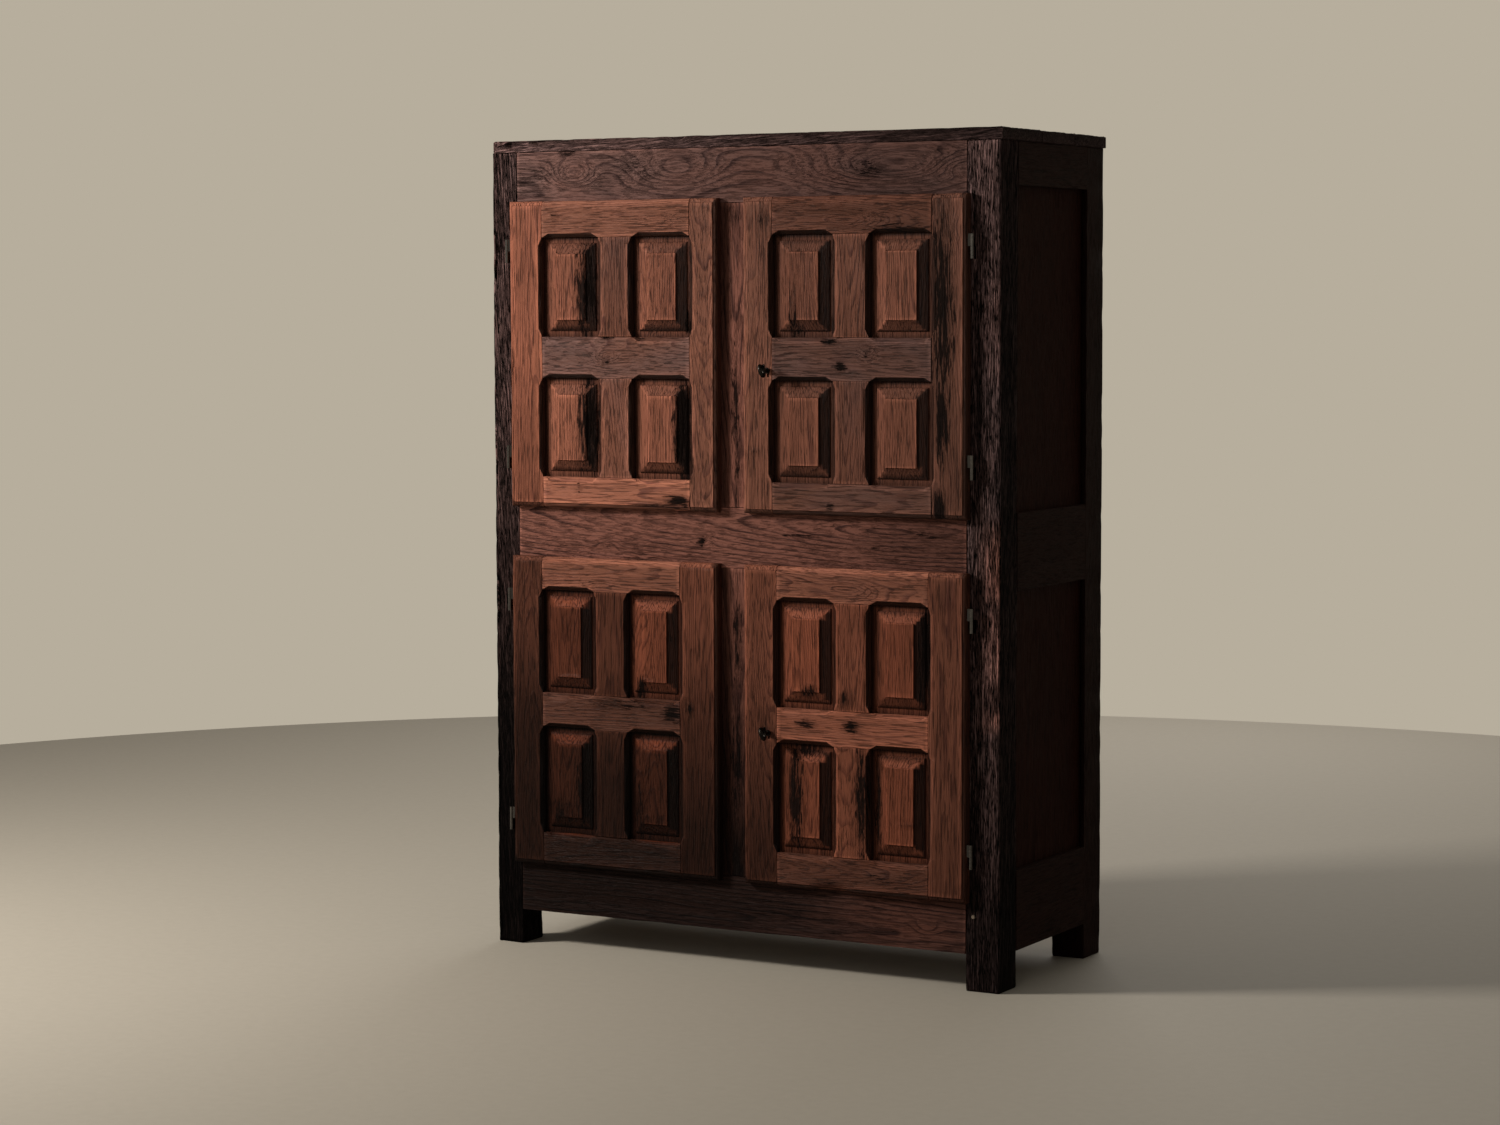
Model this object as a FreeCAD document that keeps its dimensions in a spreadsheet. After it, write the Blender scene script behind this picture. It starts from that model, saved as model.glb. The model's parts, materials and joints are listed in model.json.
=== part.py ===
import FreeCAD, Part
import Sketcher
import os
import re

# A four-door trastero: a tall cupboard of weathered posts and rails, with a fixed
# mullion between two upper and two lower framed doors, each of four raised panels.
# X runs to the right seen from the front, Y to the back and Z up from the floor.
# The origin is the middle of the whole object's footprint.

SIZES = [
    # Whole cupboard
    ("overall_width", 1328, "across the top boards"),
    ("overall_height", 1900, "floor to the top of the boards"),
    ("carcass_depth", 555, "front of the front posts to the back of the rear posts"),
    ("joint_gap", 0.2, "play round a tenon, tongue or let-in blade"),
    ("running_gap", 0.4, "play round a piece that slides or turns"),
    ("overrun", 4, "how far a cut runs past the face it starts from"),
    # Posts
    ("left_post_width", 71, "along the front"),
    ("right_post_width", 83, "along the front, the wider of the two"),
    ("front_post_depth", 90, "front posts, front to back"),
    ("rear_post_depth", 96, "rear posts, front to back"),
    ("post_arris", 5, "rounding of the outer corner"),
    ("foot_arris", 4, "rounding at the floor"),
    # Top boards
    ("top_thickness", 28, "boards that close the top"),
    ("top_overhang", 3, "past the posts all round"),
    ("top_corner", 24, "rounding of the worn front left corner"),
    ("top_arris", 5, "rounding of the top edges"),
    ("front_board_width", 206, "front top board, front to back"),
    ("board_gap", 1.5, "open joint between two boards"),
    # Front rails and mullions
    ("front_rail_thickness", 45, "front rails, front to back"),
    ("front_top_rail_height", 126, "under the top boards"),
    ("front_middle_rail_height", 139, "between the upper and lower doors"),
    ("lower_opening_share", 0.50644, "lower doorway's share of the height of both doorways"),
    ("front_bottom_rail_height", 127, "under the lower doors"),
    ("front_bottom_rail_underside", 82, "above the floor"),
    ("rail_tenon_length", 42, "into the posts"),
    ("rail_tenon_thickness", 16, "of the carcass tenons"),
    ("tenon_set_in", 12, "tenon's edge inside the rail's edge"),
    ("mullion_width", 88, "upright between two doors"),
    ("mullion_thickness", 40, "front to back"),
    ("mullion_tenon_length", 30, "into the rails"),
    # Sides
    ("side_rail_thickness", 36, "side rails, across"),
    ("side_top_rail_height", 98, "under the top boards"),
    ("side_middle_rail_drop", 34, "its underside below that of the front middle rail"),
    ("side_middle_rail_height", 175, "between the two side panels"),
    ("side_bottom_rail_height", 182, "under the lower side panel"),
    ("side_tenon_length", 36, "into the posts"),
    ("side_tenon_thickness", 12, "of the side tenons"),
    ("side_panel_thickness", 11, "plain side panels"),
    ("side_panel_recess", 15, "face of the panel behind the face of the post"),
    ("side_groove_depth", 10, "round the side panels"),
    ("tongue_slack", 1, "room for a panel to swell in its groove"),
    # Back
    ("rear_rail_thickness", 30, "front to back"),
    ("rear_rail_height", 92, "top, middle and bottom"),
    ("back_board_thickness", 12, "boards nailed behind the rear rails"),
    ("back_board_recess", 4, "boards inside the back of the rear posts"),
    ("back_board_count", 6, "boards across the back"),
    # Shelves
    ("fixed_shelf_thickness", 18, "bottom boards and middle shelf"),
    ("shelf_post_gap", 2, "notch round each post"),
    ("batten_width", 22, "shelf battens, across"),
    ("batten_height", 30, "shelf battens, up"),
    ("loose_shelf_thickness", 20, "the two loose shelves"),
    ("loose_shelf_front", 70, "behind the front of the posts"),
    ("loose_shelf_end_gap", 3, "between a loose shelf and a post"),
    ("upper_loose_shelf_share", 0.4913, "top face's height as a share of the upper doorway"),
    ("lower_loose_shelf_share", 0.5042, "top face's height as a share of the lower doorway"),
    # Doors
    ("door_proud", 22, "lip of the door in front of the posts"),
    ("door_rebate", 12, "part of the door inside its opening"),
    ("door_lap", 11, "lip over the posts, rails and mullion"),
    ("door_gap", 3, "between the door and its opening"),
    ("mould_width", 10, "moulding along the door's edge"),
    ("mould_step", 2, "step between the face and the round"),
    ("groove_setback", 15, "panel groove behind the door's face"),
    ("groove_width", 8, "panel groove, front to back"),
    ("groove_depth", 8, "panel groove into the frame"),
    ("door_tenon_length", 40, "rails into the stiles"),
    ("door_tenon_set_in", 10, "tenon's edge inside the rail's edge"),
    ("muntin_width", 91, "upright between two panels"),
    ("muntin_tenon_length", 22, "muntins into the rails"),
    ("chamfer_width", 10, "stopped chamfer round each panel"),
    ("chamfer_stop", 18, "run-out at each end of a chamfer"),
    ("panel_margin", 13, "flat border of a panel"),
    ("panel_fillet", 2, "small step where the bevel starts"),
    ("panel_bevel", 25, "bevel, across"),
    ("panel_bevel_rise", 7, "bevel, front to back"),
    ("panel_field_rise", 2, "small step up to the raised field"),
    # Frame members of each door, each a little different
    ("upper_left_hinge_stile", 92, "outer edge to shoulder"),
    ("upper_left_closing_stile", 72, "outer edge to shoulder"),
    ("upper_right_hinge_stile", 86, "outer edge to shoulder"),
    ("upper_right_closing_stile", 77, "outer edge to shoulder"),
    ("lower_left_hinge_stile", 86, "outer edge to shoulder"),
    ("lower_left_closing_stile", 101, "outer edge to shoulder"),
    ("lower_right_hinge_stile", 93, "outer edge to shoulder"),
    ("lower_right_closing_stile", 87, "outer edge to shoulder"),
    ("upper_top_rail", 85, "top rail of an upper door"),
    ("upper_middle_rail", 97, "middle rail of an upper door"),
    ("upper_low_panel_share", 0.5, "lower panels' share of the height of both rows of panels"),
    ("upper_bottom_rail", 72, "bottom rail of an upper door"),
    ("lower_top_rail", 78, "top rail of a lower door"),
    ("lower_middle_rail", 81, "middle rail of a lower door"),
    ("lower_low_panel_share", 0.50813, "lower panels' share of the height of both rows of panels"),
    ("lower_bottom_rail", 79, "bottom rail of a lower door"),
    # Hinges: a barrel in two halves, each with a blade let into the wood
    ("barrel_radius", 4, "outside of the barrel"),
    ("barrel_length", 27, "one half of the barrel"),
    ("hinge_pin_radius", 2.2, "pin in the upper half"),
    ("hinge_pin_length", 22, "pin below the upper half"),
    ("pin_fit", 0.05, "pin in its bore, on the radius"),
    ("hinge_outset", 9, "axis outside the door's edge"),
    ("hinge_proud", 14, "axis in front of the posts"),
    ("blade_thickness", 2, "blades of the hinges"),
    ("blade_reach", 26, "blade inside the wood"),
    ("upper_hinge_inset", 115, "barrel's middle from the ends of an upper door"),
    ("lower_hinge_inset", 104, "barrel's middle from the ends of a lower door"),
    # Locks and keys of the right doors
    ("key_inset", 67, "key's axis from the door's closing edge"),
    ("key_lift", 22, "key's axis above the underside of the middle rail"),
    ("key_reach", 40, "end of the bow in front of the door"),
    ("bow_height", 30, "bow of the key"),
    ("bow_length", 22, "bow of the key, along the shank"),
    ("bow_band", 5, "band of the bow, seen from the side"),
    ("bow_thickness", 4.5, "bow of the key, across"),
    ("bow_corner", 10, "rounding of the bow's outline"),
    ("bow_chamfer", 1.2, "worn edges of the bow"),
    ("shank_radius", 3, "shank of the key"),
    ("collar_radius", 5, "collar of the key"),
    ("collar_length", 4, "collar of the key"),
    ("collar_gap", 2, "collar in front of the door's face"),
    ("bit_length", 14, "key's axis to the end of the bit"),
    ("bit_thickness", 2.5, "bit of the key, across"),
    ("bit_width", 7, "bit of the key, along the shank"),
    ("case_width", 96, "lock case, along X"),
    ("case_height", 78, "lock case"),
    ("case_depth", 18, "lock case behind the door"),
    ("case_wall", 2, "sheet of the lock case"),
    ("case_edge", 2, "case inside the back of the door"),
    ("case_below_key", 28, "bottom of the case below the key's axis"),
    ("bolt_length", 84, "lock bolt"),
    ("bolt_height", 16, "lock bolt"),
    ("bolt_depth", 8, "lock bolt, front to back"),
    ("bolt_over_key", 9, "underside of the bolt above the key's axis"),
    ("bolt_setback", 4, "bolt behind the back of the door"),
    ("bolt_throw", 14, "travel of the lock bolt"),
    ("bolt_notch", 12, "notch that the bit enters, along the bolt"),
    ("bolt_notch_height", 7, "notch that the bit enters, up"),
    # Slide bolts inside the left doors
    ("plate_width", 34, "slide bolt's plate"),
    ("plate_height", 84, "slide bolt's plate"),
    ("plate_thickness", 2, "slide bolt's plate"),
    ("plate_drop", 10, "plate below the top of the door's back"),
    ("plate_inset", 10, "plate from the side of the door's back"),
    ("keeper_height", 10, "keepers round the slide bolt"),
    ("keeper_wall", 3, "metal round the slide bolt in its keepers"),
    ("slide_radius", 4, "slide bolt"),
    ("slide_throw", 15, "travel of the slide bolt"),
    ("slide_tail", 6, "slide bolt below its lower keeper"),
    ("slide_knob_radius", 5, "flared knob of the slide bolt"),
    ("slide_knob_length", 7, "flared knob of the slide bolt"),
    ("slide_knob_reach", 14, "start of the knob behind the slide bolt"),
]

doc = FreeCAD.newDocument("trastero")
sheet = doc.addObject("Spreadsheet::Sheet", "Sizes")
for row, (alias, value, meaning) in enumerate(SIZES, 1):
    sheet.set(f"A{row}", alias)
    sheet.set(f"B{row}", str(value))
    sheet.set(f"C{row}", meaning)
    sheet.setAlias(f"B{row}", alias)
doc.recompute()
CELLS = {alias for alias, value, meaning in SIZES}

# Places worked out from the sizes, each a formula of cells and of other places.
PLACES = {
    # Planes of the whole cupboard
    "side_x": "overall_width / 2 - top_overhang",
    "front_y": "(key_reach + door_proud - carcass_depth - top_overhang) / 2",
    "rear_y": "front_y + carcass_depth",
    "post_top": "overall_height - top_thickness",
    "bay_left": "left_post_width - side_x",
    "bay_right": "side_x - right_post_width",
    "bay_middle": "(bay_left + bay_right) / 2",
    # Edges of the front rails and mullions
    "top_rail_low": "post_top - front_top_rail_height",
    "bottom_rail_low": "front_bottom_rail_underside",
    "bottom_rail_high": "front_bottom_rail_underside + front_bottom_rail_height",
    "doorways_height": "top_rail_low - bottom_rail_high - front_middle_rail_height",
    "middle_rail_low": "bottom_rail_high + doorways_height * lower_opening_share",
    "middle_rail_high": "middle_rail_low + front_middle_rail_height",
    "front_rail_back": "front_y + front_rail_thickness",
    "mullion_left": "bay_middle - mullion_width / 2",
    "mullion_right": "bay_middle + mullion_width / 2",
    "mullion_back": "front_y + mullion_thickness",
    # Edges of the side frames
    "front_post_back": "front_y + front_post_depth",
    "rear_post_front": "rear_y - rear_post_depth",
    "side_top_low": "post_top - side_top_rail_height",
    "side_middle_low": "middle_rail_low - side_middle_rail_drop",
    "side_middle_high": "side_middle_low + side_middle_rail_height",
    "side_bottom_high": "front_bottom_rail_underside + side_bottom_rail_height",
    "left_rail_inside": "side_rail_thickness - side_x",
    "right_rail_inside": "side_x - side_rail_thickness",
    # Back
    "boards_back": "rear_y - back_board_recess",
    "boards_front": "boards_back - back_board_thickness",
    "rear_rail_front": "boards_front - rear_rail_thickness",
    "middle_shelf_low": "middle_rail_high - fixed_shelf_thickness",
    "bottom_shelf_low": "bottom_rail_high - fixed_shelf_thickness",
    "back_board_pitch": "(bay_right - bay_left) / back_board_count",
    "upper_doorway": "top_rail_low - middle_rail_high",
    "lower_doorway": "middle_rail_low - bottom_rail_high",
    "upper_loose_shelf_high": "middle_rail_high + upper_doorway * upper_loose_shelf_share",
    "lower_loose_shelf_high": "bottom_rail_high + lower_doorway * lower_loose_shelf_share",
    # Doors
    "door_face": "front_y - door_proud",
    "door_back": "front_y + door_rebate",
    "groove_front": "door_face + groove_setback",
    "groove_back": "door_face + groove_setback + groove_width",
    "rebate_inset": "door_lap + door_gap",
    "left_door_low": "bay_left - door_lap",
    "left_door_high": "mullion_left + door_lap",
    "right_door_low": "mullion_right - door_lap",
    "right_door_high": "bay_right + door_lap",
    "upper_door_low": "middle_rail_high - door_lap",
    "upper_door_high": "top_rail_low + door_lap",
    "lower_door_low": "bottom_rail_high - door_lap",
    "lower_door_high": "middle_rail_low + door_lap",
    "upper_rails": "upper_top_rail + upper_middle_rail + upper_bottom_rail",
    "lower_rails": "lower_top_rail + lower_middle_rail + lower_bottom_rail",
    "upper_low_panel": "(upper_door_high - upper_door_low - upper_rails) * upper_low_panel_share",
    "lower_low_panel": "(lower_door_high - lower_door_low - lower_rails) * lower_low_panel_share",
    "upper_door_rail_low": "upper_door_low + upper_bottom_rail + upper_low_panel",
    "lower_door_rail_low": "lower_door_low + lower_bottom_rail + lower_low_panel",
    "hinge_y": "front_y - hinge_proud",
    "left_hinge_x": "left_door_low - hinge_outset",
    "right_hinge_x": "right_door_high + hinge_outset",
    # Locks
    "key_x": "right_door_low + key_inset",
    "upper_key_z": "upper_door_rail_low + key_lift",
    "lower_key_z": "lower_door_rail_low + key_lift",
    "case_low": "right_door_low + rebate_inset + case_edge",
    "bolt_front": "door_back + bolt_setback",
    "bolt_back": "bolt_front + bolt_depth",
    # Slide bolts
    "plate_high_x": "left_door_high - rebate_inset - plate_inset",
    "plate_low_x": "plate_high_x - plate_width",
    "slide_x": "plate_high_x - plate_width / 2",
    "slide_y": "door_back + plate_thickness + keeper_wall + slide_radius",
}


def formula(text):
    """An expression for the document, from text in the names of cells and places."""
    def spell(match):
        word = match.group(0)
        if word in PLACES:
            return "(" + formula(PLACES[word]) + ")"
        return "Sizes." + word if word in CELLS else word
    return re.sub(r"[a-z][a-z0-9_]*", spell, text)


def bind(piece, **sizes):
    """Binds properties of a piece to formulas; x, y and z are its place."""
    for size, text in sizes.items():
        target = "Placement.Base." + size if size in ("x", "y", "z") else size
        piece.setExpression(target, formula(text))
    return piece


def box(name, x, y, z):
    """A block from a low to a high face each way, each face a formula."""
    block = doc.addObject("Part::Box", name)
    bind(block, x=x[0], y=y[0], z=z[0])
    bind(block, Length=f"{x[1]} - ({x[0]})", Width=f"{y[1]} - ({y[0]})", Height=f"{z[1]} - ({z[0]})")
    return block


def cylinder(name, x, y, z, radius, height, axis=FreeCAD.Vector(0, 0, 1)):
    """A round bar from a point along an axis."""
    bar = doc.addObject("Part::Cylinder", name)
    bar.Placement.Rotation = FreeCAD.Rotation(FreeCAD.Vector(0, 0, 1), axis)
    return bind(bar, x=x, y=y, z=z, Radius=radius, Height=height)


def grown(span, by):
    """A span with both faces moved outward."""
    return (f"{span[0]} - ({by})", f"{span[1]} + {by}")


def fuse(name, pieces):
    joined = doc.addObject("Part::MultiFuse", name)
    joined.Shapes = pieces
    joined.Refine = True
    return joined


def cut(name, base, tools):
    """A piece with one or more tools taken out of it."""
    left = doc.addObject("Part::Cut", name)
    left.Base = base
    left.Tool = tools[0] if len(tools) == 1 else fuse(name + "_tools", tools)
    left.Refine = True
    return left


def common(name, base, tool):
    shared = doc.addObject("Part::Common", name)
    shared.Base = base
    shared.Tool = tool
    shared.Refine = True
    return shared


def group(name, pieces):
    """Like pieces, each still a solid of its own, in one sub-part."""
    together = doc.addObject("Part::Compound", name)
    together.Links = pieces
    return together


ALONG_X, ALONG_Y, ALONG_Z = FreeCAD.Vector(1, 0, 0), FreeCAD.Vector(0, 1, 0), FreeCAD.Vector(0, 0, 1)
SUB_PARTS = []


def sub_part(piece, label):
    piece.Label = label
    SUB_PARTS.append(piece)
    return piece


def alike(name, pieces):
    return sub_part(group(name, pieces), name)


# Bodies drawn as sketches: each starts at its own low corner.


def rectangle(body, name, role, across, up):
    """A rectangle on one of the body's own planes, from a low to a high side each way."""
    sketch = body.newObject("Sketcher::SketchObject", name)
    sketch.AttachmentSupport = [(next(f for f in body.Origin.OriginFeatures if f.Role == role), "")]
    sketch.MapMode = "FlatFace"
    corners = [FreeCAD.Vector(*corner) for corner in ((0, 0), (1, 0), (1, 1), (0, 1))]
    for side in range(4):
        sketch.addGeometry(Part.LineSegment(corners[side], corners[(side + 1) % 4]), False)
        sketch.addConstraint(Sketcher.Constraint("Horizontal" if side % 2 == 0 else "Vertical", side))
    for side in range(4):
        sketch.addConstraint(Sketcher.Constraint("Coincident", side, 2, (side + 1) % 4, 1))
    spans = [("DistanceX", -1, 1, 0, 1, across[0]), ("DistanceY", -1, 1, 0, 1, up[0]),
             ("DistanceX", 0, 1, 0, 2, f"{across[1]} - ({across[0]})"),
             ("DistanceY", 1, 1, 1, 2, f"{up[1]} - ({up[0]})")]
    for kind, first, start, second, end, length in spans:
        index = sketch.addConstraint(Sketcher.Constraint(kind, first, start, second, end, 1))
        sketch.setExpression(f"Constraints[{index}]", formula(length))
    return sketch


def pad(body, name, sketch, length, backward=False):
    solid = body.newObject("PartDesign::Pad", name)
    solid.Profile = sketch
    solid.Reversed = backward
    return bind(solid, Length=length)


SAME_SHARE = 1e-6


def round_edges(body, name, base, radius, chosen, feature="PartDesign::Fillet", measure="Radius"):
    """Rounds those edges of a feature that chosen picks, by the edge's box and the whole's box."""
    doc.recompute()
    rounding = body.newObject(feature, name)
    whole = base.Shape.BoundBox
    edges = [f"Edge{n}" for n, edge in enumerate(base.Shape.Edges, 1) if chosen(edge.BoundBox, whole)]
    rounding.Base = (base, edges)
    return bind(rounding, **{measure: radius})


def same(place, other, whole):
    """True where two places agree to a small share of the whole piece."""
    return abs(place - other) < whole.DiagonalLength * SAME_SHARE


def upright_edge(at_left, at_front):
    """Picks the upright edge at one corner of a piece's plan."""
    def chosen(edge, whole):
        across, deep = (whole.XMin if at_left else whole.XMax), (whole.YMin if at_front else whole.YMax)
        return all(same(*pair, whole) for pair in ((edge.XMin, across), (edge.XMax, across),
                                                   (edge.YMin, deep), (edge.YMax, deep)))
    return chosen


def foot_edges(edge, whole):
    return same(edge.ZMax, whole.ZMin, whole)


def head_edges(edge, whole):
    return same(edge.ZMin, whole.ZMax, whole)


def front_edges(edge, whole):
    return same(edge.YMax, whole.YMin, whole)


# Carcass: posts, rails and mullions

FRONT_RAILS = [("front_top_rail", "top_rail_low", "post_top"),
               ("front_middle_rail", "middle_rail_low", "middle_rail_high"),
               ("front_bottom_rail", "bottom_rail_low", "bottom_rail_high")]
SIDE_RAILS = [("top", "side_top_low", "post_top"),
              ("middle", "side_middle_low", "side_middle_high"),
              ("bottom", "bottom_rail_low", "side_bottom_high")]
REAR_RAILS = [("top", "post_top - rear_rail_height", "post_top"),
              ("middle", "middle_shelf_low - rear_rail_height", "middle_shelf_low"),
              ("bottom", "bottom_shelf_low - rear_rail_height", "bottom_shelf_low")]
MULLIONS = [("upper_mullion", "middle_rail_high", "top_rail_low"),
            ("lower_mullion", "bottom_rail_high", "middle_rail_low")]
SIDES = ("left", "right")
LEVELS = ("upper", "lower")
DOORS = [(level, side) for level in LEVELS for side in SIDES]


def middle_of(span, thickness):
    """A span of the given thickness in the middle of another."""
    middle = f"({span[0]} + {span[1]}) / 2"
    return (f"{middle} - {thickness} / 2", f"{middle} + {thickness} / 2")


def inward(side, low, high):
    """A span measured from the outer face of the posts of one side."""
    if side == "left":
        return (f"{low} - side_x", f"{high} - side_x")
    return (f"side_x - ({high})", f"side_x - ({low})")


def tenoned(name, x, y, z, tenon_x, tenon_y, tenon_z):
    """A rail or upright whose two tenons are the ends of one bar through its length."""
    return fuse(name, [box(name + "_body", x, y, z), box(name + "_tenons", tenon_x, tenon_y, tenon_z)])


def front_rail_tenon(low, high):
    """Spans of the tenons of one front rail."""
    x = grown(("bay_left", "bay_right"), "rail_tenon_length")
    y = middle_of(("front_y", "front_rail_back"), "rail_tenon_thickness")
    return x, y, (f"{low} + tenon_set_in", f"{high} - tenon_set_in")


def rear_rail_tenon(low, high):
    x = grown(("bay_left", "bay_right"), "side_tenon_length")
    y = middle_of(("rear_rail_front", "boards_front"), "side_tenon_thickness")
    return x, y, (f"{low} + tenon_set_in", f"{high} - tenon_set_in")


def side_rail_tenon(side, low, high):
    x = middle_of(inward(side, "0", "side_rail_thickness"), "side_tenon_thickness")
    y = grown(("front_post_back", "rear_post_front"), "side_tenon_length")
    return x, y, (f"{low} + tenon_set_in", f"{high} - tenon_set_in")


def mullion_tenon(low, high):
    x = ("mullion_left + tenon_set_in", "mullion_right - tenon_set_in")
    y = middle_of(("front_y", "mullion_back"), "rail_tenon_thickness")
    return x, y, grown((low, high), "mullion_tenon_length")


def mortise(name, spans):
    """The hole for a tenon, with play all round it."""
    return box(name, *[grown(span, "joint_gap") for span in spans])


def panel_groove_x(side):
    """Groove for the side panels, from the outer face of the posts inward."""
    return grown(inward(side, "side_panel_recess", "side_panel_recess + side_panel_thickness"), "joint_gap")


def side_panel_rows():
    return [("upper", "side_middle_high", "side_top_low"), ("lower", "side_bottom_high", "side_middle_low")]


def side_grooves(side, name):
    """One groove box for each side panel; the posts and side rails are all cut by it."""
    rows = side_panel_rows()
    y = grown(("front_post_back", "rear_post_front"), "side_groove_depth")
    return [box(f"{name}_{level}_groove", panel_groove_x(side), y, grown((low, high), "side_groove_depth"))
            for level, low, high in rows]


def hinge_heights(level):
    """Middles of the two hinge barrels of a door."""
    return [f"{level}_door_low + {level}_hinge_inset", f"{level}_door_high - {level}_hinge_inset"]


def frame_blade(side, z):
    """Spans of the blade that is let into the post; z is the barrel's middle."""
    x = (f"{side}_hinge_x - blade_thickness / 2", f"{side}_hinge_x + blade_thickness / 2")
    return x, ("hinge_y", "front_y + blade_reach"), (f"{z} - barrel_length", f"{z} - running_gap")


def door_blade(side, z):
    """Spans of the blade that is let into the edge of the door."""
    if side == "left":
        x = ("left_hinge_x", "left_door_low + blade_reach")
    else:
        x = ("right_door_high - blade_reach", "right_hinge_x")
    return x, ("hinge_y - blade_thickness / 2", "hinge_y + blade_thickness / 2"), (z, f"{z} + barrel_length")


def post_stock(name, x, y, at_left, at_front):
    """A squared post, rounded on its outer corner and round its foot."""
    body = doc.addObject("PartDesign::Body", name)
    bind(body, x=x[0], y=y[0])
    width, depth = f"{x[1]} - ({x[0]})", f"{y[1]} - ({y[0]})"
    plan = rectangle(body, name + "_plan", "XY_Plane", ("0", width), ("0", depth))
    stock = pad(body, name + "_length", plan, "post_top")
    corner = round_edges(body, name + "_arris", stock, "post_arris", upright_edge(at_left, at_front))
    round_edges(body, name + "_foot", corner, "foot_arris", foot_edges)
    return body


def front_post(side):
    name = f"front_{side}_post"
    x = inward(side, "0", f"{side}_post_width")
    stock = post_stock(name + "_stock", x, ("front_y", "front_post_back"), side == "left", True)
    holes = [mortise(f"{name}_{rail}_mortise", front_rail_tenon(low, high))
             for rail, low, high in FRONT_RAILS]
    holes += [mortise(f"{name}_side_{rail}_mortise", side_rail_tenon(side, low, high))
              for rail, low, high in SIDE_RAILS]
    holes += side_grooves(side, name)
    for level in LEVELS:
        holes += [mortise(f"{name}_{level}_hinge_slot_{n}", frame_blade(side, z))
                  for n, z in enumerate(hinge_heights(level))]
    return sub_part(cut(name, stock, holes), name)


def rear_post(side):
    name = f"rear_{side}_post"
    x = inward(side, "0", f"{side}_post_width")
    stock = post_stock(name + "_stock", x, ("rear_post_front", "rear_y"), side == "left", False)
    holes = [mortise(f"{name}_side_{rail}_mortise", side_rail_tenon(side, low, high))
             for rail, low, high in SIDE_RAILS]
    holes += [mortise(f"{name}_rear_{rail}_mortise", rear_rail_tenon(low, high))
              for rail, low, high in REAR_RAILS]
    holes += side_grooves(side, name)
    return cut(name, stock, holes)


def slide_hole(name, level, rail_low):
    """The hole above a left door that its slide bolt enters."""
    return cylinder(name, "slide_x", "slide_y", f"{rail_low} - overrun", "slide_radius + running_gap",
                    "slide_throw + overrun")


def front_rail(name, low, high):
    """A rail between the front posts, with holes for the mullions and the slide bolt above a door."""
    rail = tenoned(name + "_whole", ("bay_left", "bay_right"), ("front_y", "front_rail_back"), (low, high),
                   *front_rail_tenon(low, high))
    holes = [mortise(f"{name}_{mullion}_mortise", mullion_tenon(foot, head))
             for mullion, foot, head in MULLIONS if low in (foot, head) or high in (foot, head)]
    if name == "front_top_rail":
        holes.append(slide_hole(name + "_slide_hole", "upper", low))
    if name == "front_middle_rail":
        holes.append(slide_hole(name + "_slide_hole", "lower", low))
    return sub_part(cut(name, rail, holes), name)


def lock_bolt_spans(level):
    """The lock bolt drawn back into its case."""
    low = f"{level}_key_z + bolt_over_key"
    return ("case_low", "case_low + bolt_length"), ("bolt_front", "bolt_back"), (low, f"{low} + bolt_height")


def mullion(name, level, low, high):
    """The upright between two doors, with a hole for the lock bolt of the right door."""
    upright = tenoned(name + "_whole", ("mullion_left", "mullion_right"), ("front_y", "mullion_back"),
                      (low, high), *mullion_tenon(low, high))
    bolt_x, bolt_y, bolt_z = lock_bolt_spans(level)
    hole = box(name + "_bolt_hole", ("case_low - bolt_throw - running_gap", "mullion_right + overrun"),
               grown(bolt_y, "running_gap"), grown(bolt_z, "running_gap"))
    return cut(name, upright, [hole])


def side_rails(side):
    """Three rails between a front and a rear post, grooved for the side panels."""
    rails = []
    for rail, low, high in SIDE_RAILS:
        name = f"{side}_side_{rail}_rail"
        whole = tenoned(name + "_whole", inward(side, "0", "side_rail_thickness"),
                        ("front_post_back", "rear_post_front"), (low, high),
                        *side_rail_tenon(side, low, high))
        rails.append(cut(name, whole, side_grooves(side, name)))
    return rails


def side_panels(side):
    """Two plain panels held in the grooves of the posts and side rails."""
    x = inward(side, "side_panel_recess", "side_panel_recess + side_panel_thickness")
    y = grown(("front_post_back", "rear_post_front"), "side_groove_depth - tongue_slack")
    return [box(f"{side}_side_{level}_panel", x, y, grown((low, high), "side_groove_depth - tongue_slack"))
            for level, low, high in side_panel_rows()]


def rear_rails():
    rails = [tenoned(f"rear_{rail}_rail", ("bay_left", "bay_right"), ("rear_rail_front", "boards_front"),
                     (low, high), *rear_rail_tenon(low, high)) for rail, low, high in REAR_RAILS]
    return alike("rear_rails", rails)


def back_boards():
    """Upright boards nailed behind the rear rails, with an open joint between each two."""
    count = round(sheet.back_board_count)
    boards = []
    for n in range(count):
        x = (f"bay_left + back_board_pitch * {n} + board_gap / 2",
             f"bay_left + back_board_pitch * {n + 1} - board_gap / 2")
        boards.append(box(f"back_board_{n}", x, ("boards_front", "boards_back"),
                          ("bottom_rail_low", "post_top")))
    return alike("back_boards", boards)


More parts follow.
